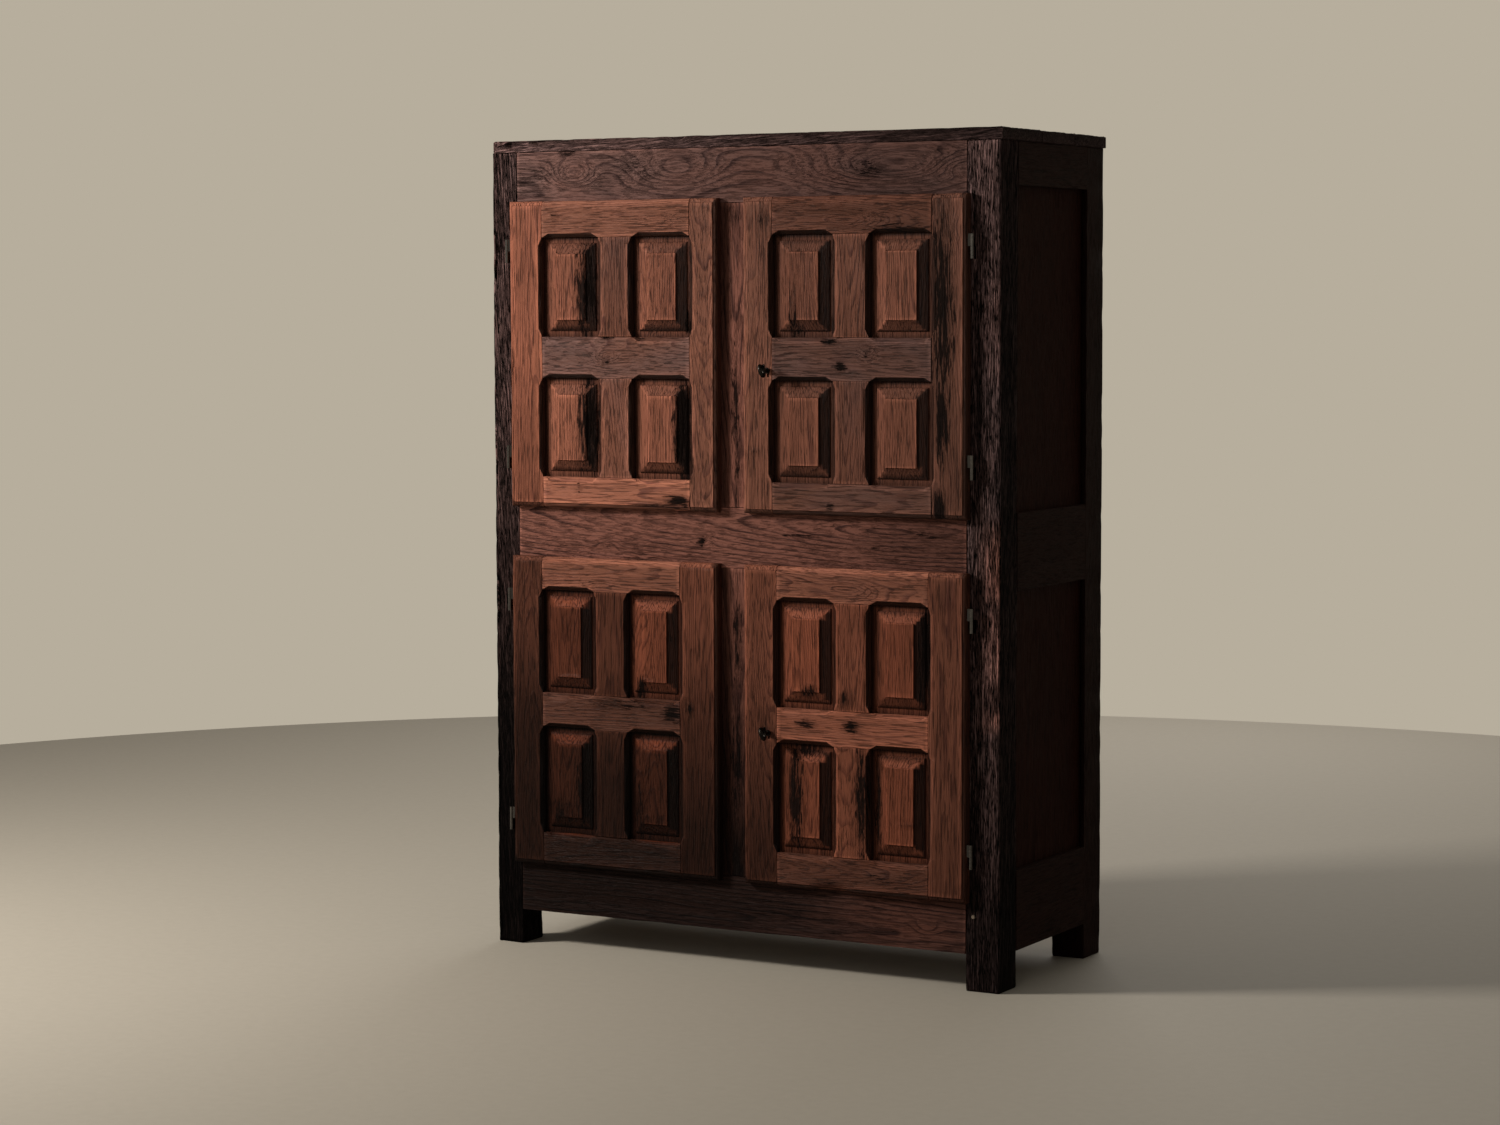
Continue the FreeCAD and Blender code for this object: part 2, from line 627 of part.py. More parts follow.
def top_boards():
    """Three boards side by side; the front one has a worn round corner at the left."""
    ends = ["front_y - top_overhang", "front_y - top_overhang + front_board_width", None,
            "rear_y + top_overhang"]
    ends[2] = f"({ends[1]} + {ends[3]}) / 2"
    boards = []
    for n in range(3):
        low = ends[n] if n == 0 else f"{ends[n]} + board_gap"
        body = doc.addObject("PartDesign::Body", f"top_board_{n}")
        bind(body, x="-overall_width / 2", y=low, z="post_top")
        depth = f"{ends[n + 1]} - ({low})"
        plan = rectangle(body, f"top_board_{n}_plan", "XY_Plane", ("0", "overall_width"), ("0", depth))
        board = pad(body, f"top_board_{n}_thickness", plan, "top_thickness")
        if n == 0:
            board = round_edges(body, "top_board_corner", board, "top_corner", upright_edge(True, True))
        round_edges(body, f"top_board_{n}_arris", board, "top_arris", head_edges)
        boards.append(body)
    return alike("top_boards", boards)


def fixed_shelf(name, top):
    """Three boards on battens, notched round the four posts."""
    left, right = inward("left", "0", "left_post_width"), inward("right", "0", "right_post_width")
    posts = [box(f"{name}_{row}_notch_{n}", grown(x, "shelf_post_gap"), grown(y, "shelf_post_gap"),
                 ("0", "post_top"))
             for row, y in (("front", ("front_y", "front_post_back")),
                            ("rear", ("rear_post_front", "rear_y")))
             for n, x in enumerate((left, right))]
    z = (f"{top} - fixed_shelf_thickness", top)
    x = ("left_rail_inside + joint_gap", "right_rail_inside - joint_gap")
    edges = ("front_rail_back", "front_post_back + shelf_post_gap", "rear_post_front - shelf_post_gap",
             "boards_front")
    boards = []
    for n in range(3):
        y = (f"{edges[n]} + board_gap / 2", f"{edges[n + 1]} - board_gap / 2")
        board = box(f"{name}_board_{n}", x, y, z)
        notches = {0: posts[:2], 1: [], 2: posts[2:]}[n]
        boards.append(cut(f"{name}_notched_{n}", board, notches) if notches else board)
    return alike(name, boards)


def loose_shelf(level):
    name = f"{level}_loose_shelf"
    x = ("bay_left + loose_shelf_end_gap", "bay_right - loose_shelf_end_gap")
    z = (f"{level}_loose_shelf_high - loose_shelf_thickness", f"{level}_loose_shelf_high")
    return box(name, x, ("front_y + loose_shelf_front", "rear_rail_front - board_gap"), z)


def shelf_battens():
    """Strips under the ends of every shelf, and under the front of the fixed ones."""
    battens = [box(f"front_{name}_batten", ("bay_left", "bay_right"),
                   ("front_rail_back", "front_rail_back + batten_width"),
                   (f"{name}_shelf_low - batten_height", f"{name}_shelf_low"))
               for name in ("bottom", "middle")]
    for side in SIDES:
        on_rail = inward(side, "side_rail_thickness", "side_rail_thickness + batten_width")
        on_post = inward(side, f"{side}_post_width", f"{side}_post_width + batten_width")
        for name in ("bottom", "middle"):
            battens.append(box(f"{side}_{name}_batten", on_rail, ("front_post_back", "rear_post_front"),
                               (f"{name}_shelf_low - batten_height", f"{name}_shelf_low")))
        for level in LEVELS:
            high = f"{level}_loose_shelf_high - loose_shelf_thickness"
            battens.append(box(f"{side}_{level}_batten", on_post, ("front_rail_back", "rear_rail_front"),
                               (f"{high} - batten_height", high)))
    return alike("shelf_battens", battens)


# Doors: a lipped frame of two stiles, three rails and two muntins, with four raised panels


def wedge(name, y, x, z, far_x, far_z):
    """A block that tapers from x by z at the low y to far_x by far_z at the high y."""
    block = doc.addObject("Part::Wedge", name)
    return bind(block, Xmin=x[0], Xmax=x[1], Zmin=z[0], Zmax=z[1], Ymin=y[0], Ymax=y[1],
                X2min=far_x[0], X2max=far_x[1], Z2min=far_z[0], Z2max=far_z[1])


def door_envelope(name, x, z):
    """The outer form of a door: a moulded lip in front, and the smaller part inside the opening."""
    body = doc.addObject("PartDesign::Body", name)
    bind(body, x=x[0], y="front_y", z=z[0])
    width, height = f"{x[1]} - ({x[0]})", f"{z[1]} - ({z[0]})"
    outline = rectangle(body, name + "_lip", "XZ_Plane", ("0", width), ("0", height))
    lip = pad(body, name + "_lip_thickness", outline, "door_proud - mould_step")
    round_edges(body, name + "_round", lip, "mould_width - mould_step", front_edges)
    for part, inset, length, backward in (("face", "mould_width", "door_proud", False),
                                          ("rebate", "rebate_inset", "door_rebate", True)):
        sketch = rectangle(body, f"{name}_{part}", "XZ_Plane", (inset, f"{width} - {inset}"),
                           (inset, f"{height} - {inset}"))
        pad(body, f"{name}_{part}_thickness", sketch, length, backward)
    return body


def chamfer(name, corner, span, into, along):
    """A cutter for one stopped chamfer: it starts at a corner of the opening and runs along its edge."""
    depth = "chamfer_width / sqrt(2)"
    length = f"({span[1]} - ({span[0]}))"
    lead = f"chamfer_stop * overrun / ({depth})"
    cutter = wedge(name, ("-overrun", depth), ("-chamfer_width", "chamfer_width"),
                   (f"-{lead}", f"{length} + {lead}"), ("-chamfer_width", "chamfer_width"),
                   ("chamfer_stop", f"{length} - chamfer_stop"))
    cutter.Placement.Rotation = FreeCAD.Rotation(into.cross(along), into, along, "ZYX")
    return bind(cutter, x=corner[0], y="door_face", z=corner[1])


def raised_panel(name, column, row):
    """A panel whose tongue lies in the frame's groove, with a bevel up to a raised field."""
    tongue = "groove_depth - tongue_slack"
    plate = ("groove_front + joint_gap", "groove_back - joint_gap")
    bevel_foot = f"{plate[0]} - panel_fillet"
    bevel_head = f"{bevel_foot} - panel_bevel_rise"
    outer = [grown(span, "-panel_margin") for span in (column, row)]
    inner = [grown(span, "-(panel_margin + panel_bevel)") for span in (column, row)]
    pieces = [box(name + "_plate", grown(column, tongue), plate, grown(row, tongue)),
              box(name + "_step", outer[0], (bevel_foot, plate[1]), outer[1]),
              wedge(name + "_bevel", (bevel_head, bevel_foot), inner[0], inner[1], outer[0], outer[1]),
              box(name + "_field", inner[0], (f"{bevel_head} - panel_field_rise", plate[1]), inner[1])]
    return fuse(name, pieces)


def key_hole(name, level):
    """The round hole for the key's shank with the slot for its bit below."""
    z = f"{level}_key_z"
    bore = cylinder(name + "_bore", "key_x", "door_face - overrun", z, "shank_radius + running_gap",
                    "door_proud + door_rebate + overrun * 2", ALONG_Y)
    slot = box(name + "_slot", grown(("key_x", "key_x"), "bit_thickness / 2 + running_gap"),
               ("door_face - overrun", "door_back + overrun"), (f"{z} - bit_length - running_gap", z))
    return [bore, slot]


def door(level, side):
    name = f"{level}_{side}"
    x, z = (f"{side}_door_low", f"{side}_door_high"), (f"{level}_door_low", f"{level}_door_high")
    y = ("door_face - overrun", "door_back + overrun")
    stiles = ["hinge_stile", "closing_stile"] if side == "left" else ["closing_stile", "hinge_stile"]
    inside = (f"{x[0]} + {name}_{stiles[0]}", f"{x[1]} - {name}_{stiles[1]}")
    muntin_x = middle_of(inside, "muntin_width")
    middle_low = f"{level}_door_rail_low"
    rails = {"bottom_rail": (z[0], f"{z[0]} + {level}_bottom_rail"),
             "middle_rail": (middle_low, f"{middle_low} + {level}_middle_rail"),
             "top_rail": (f"{z[1]} - {level}_top_rail", z[1])}
    columns = {stiles[0]: (inside[0], muntin_x[0]), stiles[1]: (muntin_x[1], inside[1])}
    rows = {"lower": (rails["bottom_rail"][1], rails["middle_rail"][0]),
            "upper": (rails["middle_rail"][1], rails["top_rail"][0])}
    envelope = door_envelope(name + "_envelope", x, z)

    def tenon_z(rail):
        """The tenon stands clear of the rail's edges, and of the door's own rebate."""
        low, high = rails[rail]
        low_by = "rebate_inset + door_tenon_set_in" if rail == "bottom_rail" else "door_tenon_set_in"
        high_by = "rebate_inset + door_tenon_set_in" if rail == "top_rail" else "door_tenon_set_in"
        return (f"{low} + {low_by}", f"{high} - ({high_by})")

    tenon_y = ("groove_front", "groove_back")
    rail_tenon_x = grown(inside, "door_tenon_length")
    cuts = {member: [] for member in ("hinge_stile", "closing_stile", "muntins", *rails)}
    for stile, column in columns.items():
        for row_name, row in rows.items():
            opening = f"{name}_{stile}_side_{row_name}"
            groove = box(opening + "_groove", grown(column, "groove_depth"), ("groove_front", "groove_back"),
                         grown(row, "groove_depth"))
            above = "top_rail" if row_name == "upper" else "middle_rail"
            below = "middle_rail" if row_name == "upper" else "bottom_rail"
            toward = {"left": FreeCAD.Vector(-1, 1, 0), "right": FreeCAD.Vector(1, 1, 0),
                      "down": FreeCAD.Vector(0, 1, -1), "up": FreeCAD.Vector(0, 1, 1)}
            low_member, high_member = (stile, "muntins") if stile == stiles[0] else ("muntins", stile)
            edges = [(low_member, (column[0], row[0]), row, toward["left"], ALONG_Z),
                     (high_member, (column[1], row[0]), row, toward["right"], ALONG_Z),
                     (below, (column[0], row[0]), column, toward["down"], ALONG_X),
                     (above, (column[0], row[1]), column, toward["up"], ALONG_X)]
            for member, corner, span, into, along in edges:
                cutter = chamfer(f"{opening}_{member}_chamfer", corner, span, into.normalize(), along)
                cuts[member] += [cutter, groove]
    for rail in rails:
        hole = mortise(f"{name}_{rail}_mortise", (rail_tenon_x, tenon_y, tenon_z(rail)))
        cuts["hinge_stile"].append(hole)
        cuts["closing_stile"].append(hole)
    muntin_tenons = {}
    for row_name, row in rows.items():
        muntin_tenons[row_name] = (grown(muntin_x, "-door_tenon_set_in"), tenon_y,
                                   grown(row, "muntin_tenon_length"))
        hole = mortise(f"{name}_{row_name}_muntin_mortise", muntin_tenons[row_name])
        for rail in (("middle_rail", "top_rail") if row_name == "upper" else ("bottom_rail", "middle_rail")):
            cuts[rail].append(hole)
    cuts["hinge_stile"] += [mortise(f"{name}_hinge_slot_{n}", door_blade(side, height))
                            for n, height in enumerate(hinge_heights(level))]
    if side == "right":
        hole = key_hole(name + "_key_hole", level)
        cuts["closing_stile"] += hole
        cuts["middle_rail"] += hole

    for stile, stile_x in ((stiles[0], (x[0], inside[0])), (stiles[1], (inside[1], x[1]))):
        blank = cut(f"{name}_{stile}_cut", box(f"{name}_{stile}_blank", stile_x, y, z), unique(cuts[stile]))
        sub_part(common(f"{name}_{stile}", blank, envelope), f"{name}_{stile}")
    for rail, span in rails.items():
        body = common(f"{name}_{rail}_body", box(f"{name}_{rail}_blank", inside, y, span), envelope)
        tenons = box(f"{name}_{rail}_tenons", rail_tenon_x, tenon_y, tenon_z(rail))
        whole = fuse(f"{name}_{rail}_whole", [body, tenons])
        sub_part(cut(f"{name}_{rail}", whole, unique(cuts[rail])), f"{name}_{rail}")
    muntins = []
    for row_name, row in rows.items():
        label = f"{name}_{row_name}_muntin"
        body = box(label + "_body", muntin_x, ("door_face", "door_back"), row)
        whole = fuse(label + "_whole", [body, box(label + "_tenons", *muntin_tenons[row_name])])
        muntins.append(cut(label, whole, unique(cuts["muntins"])))
    alike(name + "_muntins", muntins)
    panels = [raised_panel(f"{name}_{stile}_side_{row_name}_panel", column, row)
              for stile, column in columns.items() for row_name, row in rows.items()]
    alike(name + "_panels", panels)


def unique(tools):
    """The same tools in the same order, each once."""
    return list(dict.fromkeys(tools))


# Hinges


def frame_leaf(name, side, z):
    """The lower half of a barrel with its bore and the blade that the post holds."""
    barrel = cylinder(name + "_barrel", f"{side}_hinge_x", "hinge_y", f"{z} - barrel_length",
                      "barrel_radius", "barrel_length - running_gap")
    bore = cylinder(name + "_bore", f"{side}_hinge_x", "hinge_y", f"{z} - barrel_length - overrun",
                    "hinge_pin_radius + pin_fit", "barrel_length + overrun * 2")
    return cut(name, fuse(name + "_solid", [barrel, box(name + "_blade", *frame_blade(side, z))]), [bore])


def door_leaf(name, side, z):
    """The upper half of a barrel with the pin and the blade that the door holds."""
    barrel = cylinder(name + "_barrel", f"{side}_hinge_x", "hinge_y", z, "barrel_radius", "barrel_length")
    pin = cylinder(name + "_pin", f"{side}_hinge_x", "hinge_y", f"{z} - hinge_pin_length",
                   "hinge_pin_radius", "hinge_pin_length + barrel_length / 2")
    return fuse(name, [barrel, pin, box(name + "_blade", *door_blade(side, z))])


def hinges():
    frame_leaves = []
    for level, side in DOORS:
        leaves = []
        for n, z in enumerate(hinge_heights(level)):
            name = f"{level}_{side}_hinge_{n}"
            frame_leaves.append(frame_leaf(name + "_frame_leaf", side, z))
            leaves.append(door_leaf(name + "_door_leaf", side, z))
        alike(f"{level}_{side}_hinge_leaves", leaves)
    alike("frame_hinge_leaves", frame_leaves)


# Locks and keys of the right doors

def across_edges(edge, whole):
    """Picks the edges that run right across a piece, along X."""
    return same(edge.XMin, whole.XMin, whole) and same(edge.XMax, whole.XMax, whole)


def inner_across_edges(edge, whole):
    outside = any(same(*pair, whole) for pair in ((edge.YMin, whole.YMin), (edge.YMax, whole.YMax),
                                                  (edge.ZMin, whole.ZMin), (edge.ZMax, whole.ZMax)))
    return across_edges(edge, whole) and not outside


def flank_edges(edge, whole):
    """Picks the edges of a piece's two flat flanks."""
    return same(edge.XMax, whole.XMin, whole) or same(edge.XMin, whole.XMax, whole)


def key_bow(name, y, z):
    """A flat oval ring with worn edges, from its low corner in Y and Z."""
    body = doc.addObject("PartDesign::Body", name)
    bind(body, x="key_x - bow_thickness / 2", y=y, z=z)
    outline = rectangle(body, name + "_outline", "YZ_Plane", ("0", "bow_length"), ("0", "bow_height"))
    blank = pad(body, name + "_blank", outline, "bow_thickness")
    blank = round_edges(body, name + "_ends", blank, "bow_corner", across_edges)
    eye = rectangle(body, name + "_eye", "YZ_Plane", ("bow_band", "bow_length - bow_band"),
                    ("bow_band", "bow_height - bow_band"))
    pierced = body.newObject("PartDesign::Pocket", name + "_opening")
    pierced.Profile = eye
    pierced.Reversed = True
    bind(pierced, Length="bow_thickness")
    pierced = round_edges(body, name + "_eye_ends", pierced, "bow_corner - bow_band", inner_across_edges)
    round_edges(body, name + "_worn", pierced, "bow_chamfer", flank_edges, "PartDesign::Chamfer", "Size")
    return body


def key(level):
    """A forged key with an oval ring for its bow, a collar, a round shank and a plain bit."""
    name = f"{level}_key"
    z = f"{level}_key_z"
    bow = key_bow(name + "_bow", "door_face - key_reach", f"{z} - bow_height / 2")
    bit_y = middle_of(("bolt_front", "bolt_back"), "bit_width")
    shank_start = "door_face - key_reach + bow_length - bow_band / 2"
    shank = cylinder(name + "_shank", "key_x", shank_start, z, "shank_radius",
                     f"{bit_y[1]} - ({shank_start})", ALONG_Y)
    collar = cylinder(name + "_collar", "key_x", "door_face - collar_gap - collar_length", z,
                      "collar_radius", "collar_length", ALONG_Y)
    bit = box(name + "_bit", grown(("key_x", "key_x"), "bit_thickness / 2"), bit_y, (f"{z} - bit_length", z))
    return sub_part(fuse(name, [bow, shank, collar, bit]), name)


def lock_case(level):
    """A sheet case on the back of the door, open toward it, with a slot for the bolt."""
    name = f"{level}_lock_case"
    low_z = f"{level}_key_z - case_below_key"
    x, z = ("case_low", "case_low + case_width"), (low_z, f"{low_z} + case_height")
    y = ("door_back", "door_back + case_depth")
    hollow = box(name + "_hollow", grown(x, "-case_wall"), ("door_back - overrun", f"{y[1]} - case_wall"),
                 grown(z, "-case_wall"))
    bolt_x, bolt_y, bolt_z = lock_bolt_spans(level)
    slot = box(name + "_slot", ("case_low - overrun", "case_low + case_wall + overrun"),
               grown(bolt_y, "running_gap"), grown(bolt_z, "running_gap"))
    return sub_part(cut(name, box(name + "_block", x, y, z), [hollow, slot]), name)


def lock_bolt(level):
    """A bar with a notch below, where the key's bit pushes it."""
    name = f"{level}_lock_bolt"
    x, y, z = lock_bolt_spans(level)
    notch_low = "key_x + bolt_throw - bit_thickness / 2 - running_gap"
    notch = box(name + "_notch", (notch_low, f"{notch_low} + bolt_notch"), grown(y, "overrun"),
                (f"{z[0]} - overrun", f"{z[0]} + bolt_notch_height"))
    return sub_part(cut(name, box(name + "_bar", x, y, z), [notch]), name)


# Slide bolts inside the left doors


def slide_bolt(level):
    """A round bolt in two keepers on a plate; it rises into the rail above the door."""
    plate_top = f"{level}_door_high - rebate_inset - plate_drop"
    plate_z = (f"{plate_top} - plate_height", plate_top)
    name = f"{level}_slide_bolt_plate"
    plate = box(name + "_sheet", ("plate_low_x", "plate_high_x"),
                ("door_back", "door_back + plate_thickness"), plate_z)
    half = "slide_radius + keeper_wall"
    keepers = [box(f"{name}_keeper_{n}", grown(("slide_x", "slide_x"), half),
                   ("door_back", f"slide_y + {half}"), span)
               for n, span in enumerate(((plate_z[0], f"{plate_z[0]} + keeper_height"),
                                         (f"{plate_z[1]} - keeper_height", plate_z[1])))]
    bore = cylinder(name + "_bore", "slide_x", "slide_y", f"{plate_z[0]} - overrun",
                    "slide_radius + running_gap", "plate_height + overrun * 2")
    sub_part(cut(name, fuse(name + "_solid", [plate, *keepers]), [bore]), name)
    name = f"{level}_slide_bolt"
    foot = f"{plate_z[0]} - slide_tail"
    rod = cylinder(name + "_rod", "slide_x", "slide_y", foot, "slide_radius",
                   f"{level}_door_high - rebate_inset - ({foot})")
    knob_z = f"{plate_z[0]} + keeper_height + running_gap + slide_knob_radius"
    stem = cylinder(name + "_stem", "slide_x", "slide_y", knob_z, "slide_radius / 2",
                    "slide_knob_reach", ALONG_Y)
    knob = doc.addObject("Part::Cone", name + "_knob")
    knob.Placement.Rotation = FreeCAD.Rotation(ALONG_Z, ALONG_Y)
    bind(knob, x="slide_x", y="slide_y + slide_knob_reach", z=knob_z, Radius1="slide_radius / 2",
         Radius2="slide_knob_radius", Height="slide_knob_length")
    return sub_part(fuse(name, [rod, stem, knob]), name)


def build():
    for side in SIDES:
        front_post(side)
    for name, low, high in FRONT_RAILS:
        front_rail(name, low, high)
    alike("rear_posts", [rear_post(side) for side in SIDES])
    alike("side_rails", side_rails("left") + side_rails("right"))
    alike("side_panels", side_panels("left") + side_panels("right"))
    alike("mullions", [mullion(name, level, low, high)
                       for level, (name, low, high) in zip(LEVELS, MULLIONS)])
    rear_rails()
    back_boards()
    top_boards()
    fixed_shelf("bottom_boards", "bottom_rail_high")
    fixed_shelf("middle_shelf", "middle_rail_high")
    alike("loose_shelves", [loose_shelf(level) for level in LEVELS])
    shelf_battens()
    for level, side in DOORS:
        door(level, side)
    hinges()
    for level in LEVELS:
        key(level)
        lock_case(level)
        lock_bolt(level)
        slide_bolt(level)
    doc.recompute()


def write():
    """Writes each sub-part after every object of the document has been looked at."""
    for piece in doc.Objects:
        if any(word in ("Invalid", "Error") for word in piece.State):
            raise RuntimeError(f"{piece.Name} failed: {piece.State}")
    for piece in SUB_PARTS:
        if piece.Shape.isNull() or not piece.Shape.isValid() or not piece.Shape.Solids:
            raise RuntimeError(f"{piece.Label} has no sound shape")
    os.makedirs("parts", exist_ok=True)
    for piece in SUB_PARTS:
        piece.Shape.exportStep(f"parts/{piece.Label}.step")
    print(len(SUB_PARTS), "sub-parts written")


build()
write()
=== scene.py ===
import json
import math
import random

import bmesh
import bpy
from mathutils import Matrix, Vector, noise


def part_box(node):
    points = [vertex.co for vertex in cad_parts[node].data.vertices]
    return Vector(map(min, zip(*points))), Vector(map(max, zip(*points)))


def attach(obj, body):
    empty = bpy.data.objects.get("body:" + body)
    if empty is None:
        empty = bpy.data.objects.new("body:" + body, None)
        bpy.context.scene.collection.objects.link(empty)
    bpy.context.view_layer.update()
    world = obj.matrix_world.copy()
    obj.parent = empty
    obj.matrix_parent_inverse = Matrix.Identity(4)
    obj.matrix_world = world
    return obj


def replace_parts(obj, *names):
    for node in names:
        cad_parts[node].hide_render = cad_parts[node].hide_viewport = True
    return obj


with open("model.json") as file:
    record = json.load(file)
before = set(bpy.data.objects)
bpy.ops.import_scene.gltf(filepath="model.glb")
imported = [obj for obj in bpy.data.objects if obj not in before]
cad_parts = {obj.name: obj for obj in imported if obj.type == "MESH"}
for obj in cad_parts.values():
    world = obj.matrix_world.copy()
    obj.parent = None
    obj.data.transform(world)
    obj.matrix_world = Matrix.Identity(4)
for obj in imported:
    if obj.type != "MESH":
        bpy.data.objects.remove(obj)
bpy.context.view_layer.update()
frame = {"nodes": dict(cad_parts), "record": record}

nodes = frame["nodes"]
body_of = {node: body for body, members in frame["record"]["behaviour"]["bodies"].items()
           for node in members}
slot_of = {part["node"]: part["material_slot"] for part in frame["record"]["subparts"]}


# Four posts carry the cupboard. They are old squared oak, split, furrowed and nearly black, and the
# two front ones have lost whole flakes along their outer arrises. All rails are tenoned into them.
# The helpers that every board of the cupboard uses come with them.


class Value:
    """A shader socket that takes part in sums, so that a recipe reads as arithmetic."""

    def __init__(self, recipe, socket):
        self.recipe = recipe
        self.socket = socket

    def math(self, operation, *others):
        return self.recipe.node("ShaderNodeMath", {"operation": operation}, self, *others)

    def __add__(self, other):
        return self.math("ADD", other)

    def __sub__(self, other):
        return self.math("SUBTRACT", other)

    def __mul__(self, other):
        return self.math("MULTIPLY", other)

    def __truediv__(self, other):
        return self.math("DIVIDE", other)

    def __pow__(self, other):
        return self.math("POWER", other)

    __radd__ = __add__

    def __rsub__(self, other):
        return self * -1 + other

    def swing(self, weight):
        """Noise about its mean of a half, times a weight."""
        return (self - 0.5) * weight

    def step(self, low, high):
        """0 below low, 1 above high, and a smooth rise between."""
        smooth = {"interpolation_type": "SMOOTHSTEP"}
        return self.recipe.node("ShaderNodeMapRange", smooth, self, low, high)

    def axes(self):
        """The three numbers of a vector."""
        split = self.recipe.node("ShaderNodeSeparateXYZ", {}, self).socket.node
        return [Value(self.recipe, output) for output in split.outputs]


class Recipe:
    """A material and the nodes that make it."""

    # The sockets of a colour mix: its share, its two colours, and its result.
    MIX_INPUTS, MIX_RESULT = (0, 6, 7), 2

    def __init__(self, name, **constants):
        self.material = bpy.data.materials.new(name)
        self.material.use_nodes = True
        self.tree = self.material.node_tree
        self.shader = self.tree.nodes["Principled BSDF"]
        for socket, number in constants.items():
            self.shader.inputs[socket.replace("_", " ")].default_value = number

    def node(self, kind, settings, *inputs, output=0, **named):
        made = self.tree.nodes.new(kind)
        for key, setting in settings.items():
            setattr(made, key, setting)
        for socket, given in zip(made.inputs, inputs):
            self.feed(socket, given)
        for name, given in named.items():
            self.feed(made.inputs[name], given)
        return Value(self, made.outputs[output])

    def feed(self, socket, given):
        if isinstance(given, Value):
            self.tree.links.new(given.socket, socket)
        else:
            socket.default_value = given

    def attribute(self, name):
        return self.node("ShaderNodeAttribute", {"attribute_name": name}, output="Vector")

    def place(self):
        return self.node("ShaderNodeTexCoord", {}, output="Object")

    def vector(self, x, y, z):
        return self.node("ShaderNodeCombineXYZ", {}, x, y, z)

    def noise(self, vector, scale, detail, roughness):
        return self.node("ShaderNodeTexNoise", {}, Vector=vector, Scale=scale, Detail=detail,
                         Roughness=roughness)

    def mix(self, share, first, second, blend="MIX"):
        made = self.tree.nodes.new("ShaderNodeMix")
        made.data_type = "RGBA"
        made.blend_type = blend
        made.clamp_factor = True
        for place, given in zip(self.MIX_INPUTS, (share, first, second)):
            self.feed(made.inputs[place], given)
        return Value(self, made.outputs[self.MIX_RESULT])

    def finish(self, colour, roughness, height=None, relief=0.0):
        self.feed(self.shader.inputs["Base Color"], colour)
        self.feed(self.shader.inputs["Roughness"], roughness)
        if height is not None:
            bump = self.node("ShaderNodeBump", {}, Height=height, Distance=relief, Strength=1.0)
            self.feed(self.shader.inputs["Normal"], bump)
        return self.material


def tint(code):
    """A colour from its usual six-digit code, in the linear values that shaders take."""
    parts = [int(code[n:n + 2], 16) / 255 for n in (0, 2, 4)]
    return tuple(part / 12.92 if part < 0.04045 else ((part + 0.055) / 1.055) ** 2.4
                 for part in parts) + (1.0,)


# How a log grew: how far its rings wander, how close its branches stand and how much of a metre one
# cell of them is, how thick they are and how far they lift the rings. Then the shares of a ring
# over which late wood darkens and stops.
RINGS_WANDER, BRANCH_SCALE, BRANCH_CELL = 0.035, 5.5, 0.19
BRANCH_EDGE, BRANCH_LIFT = 0.028, 0.016
LATE_BEGINS, LATE_STOPS = (0.5, 0.9), (0.92, 1.0)


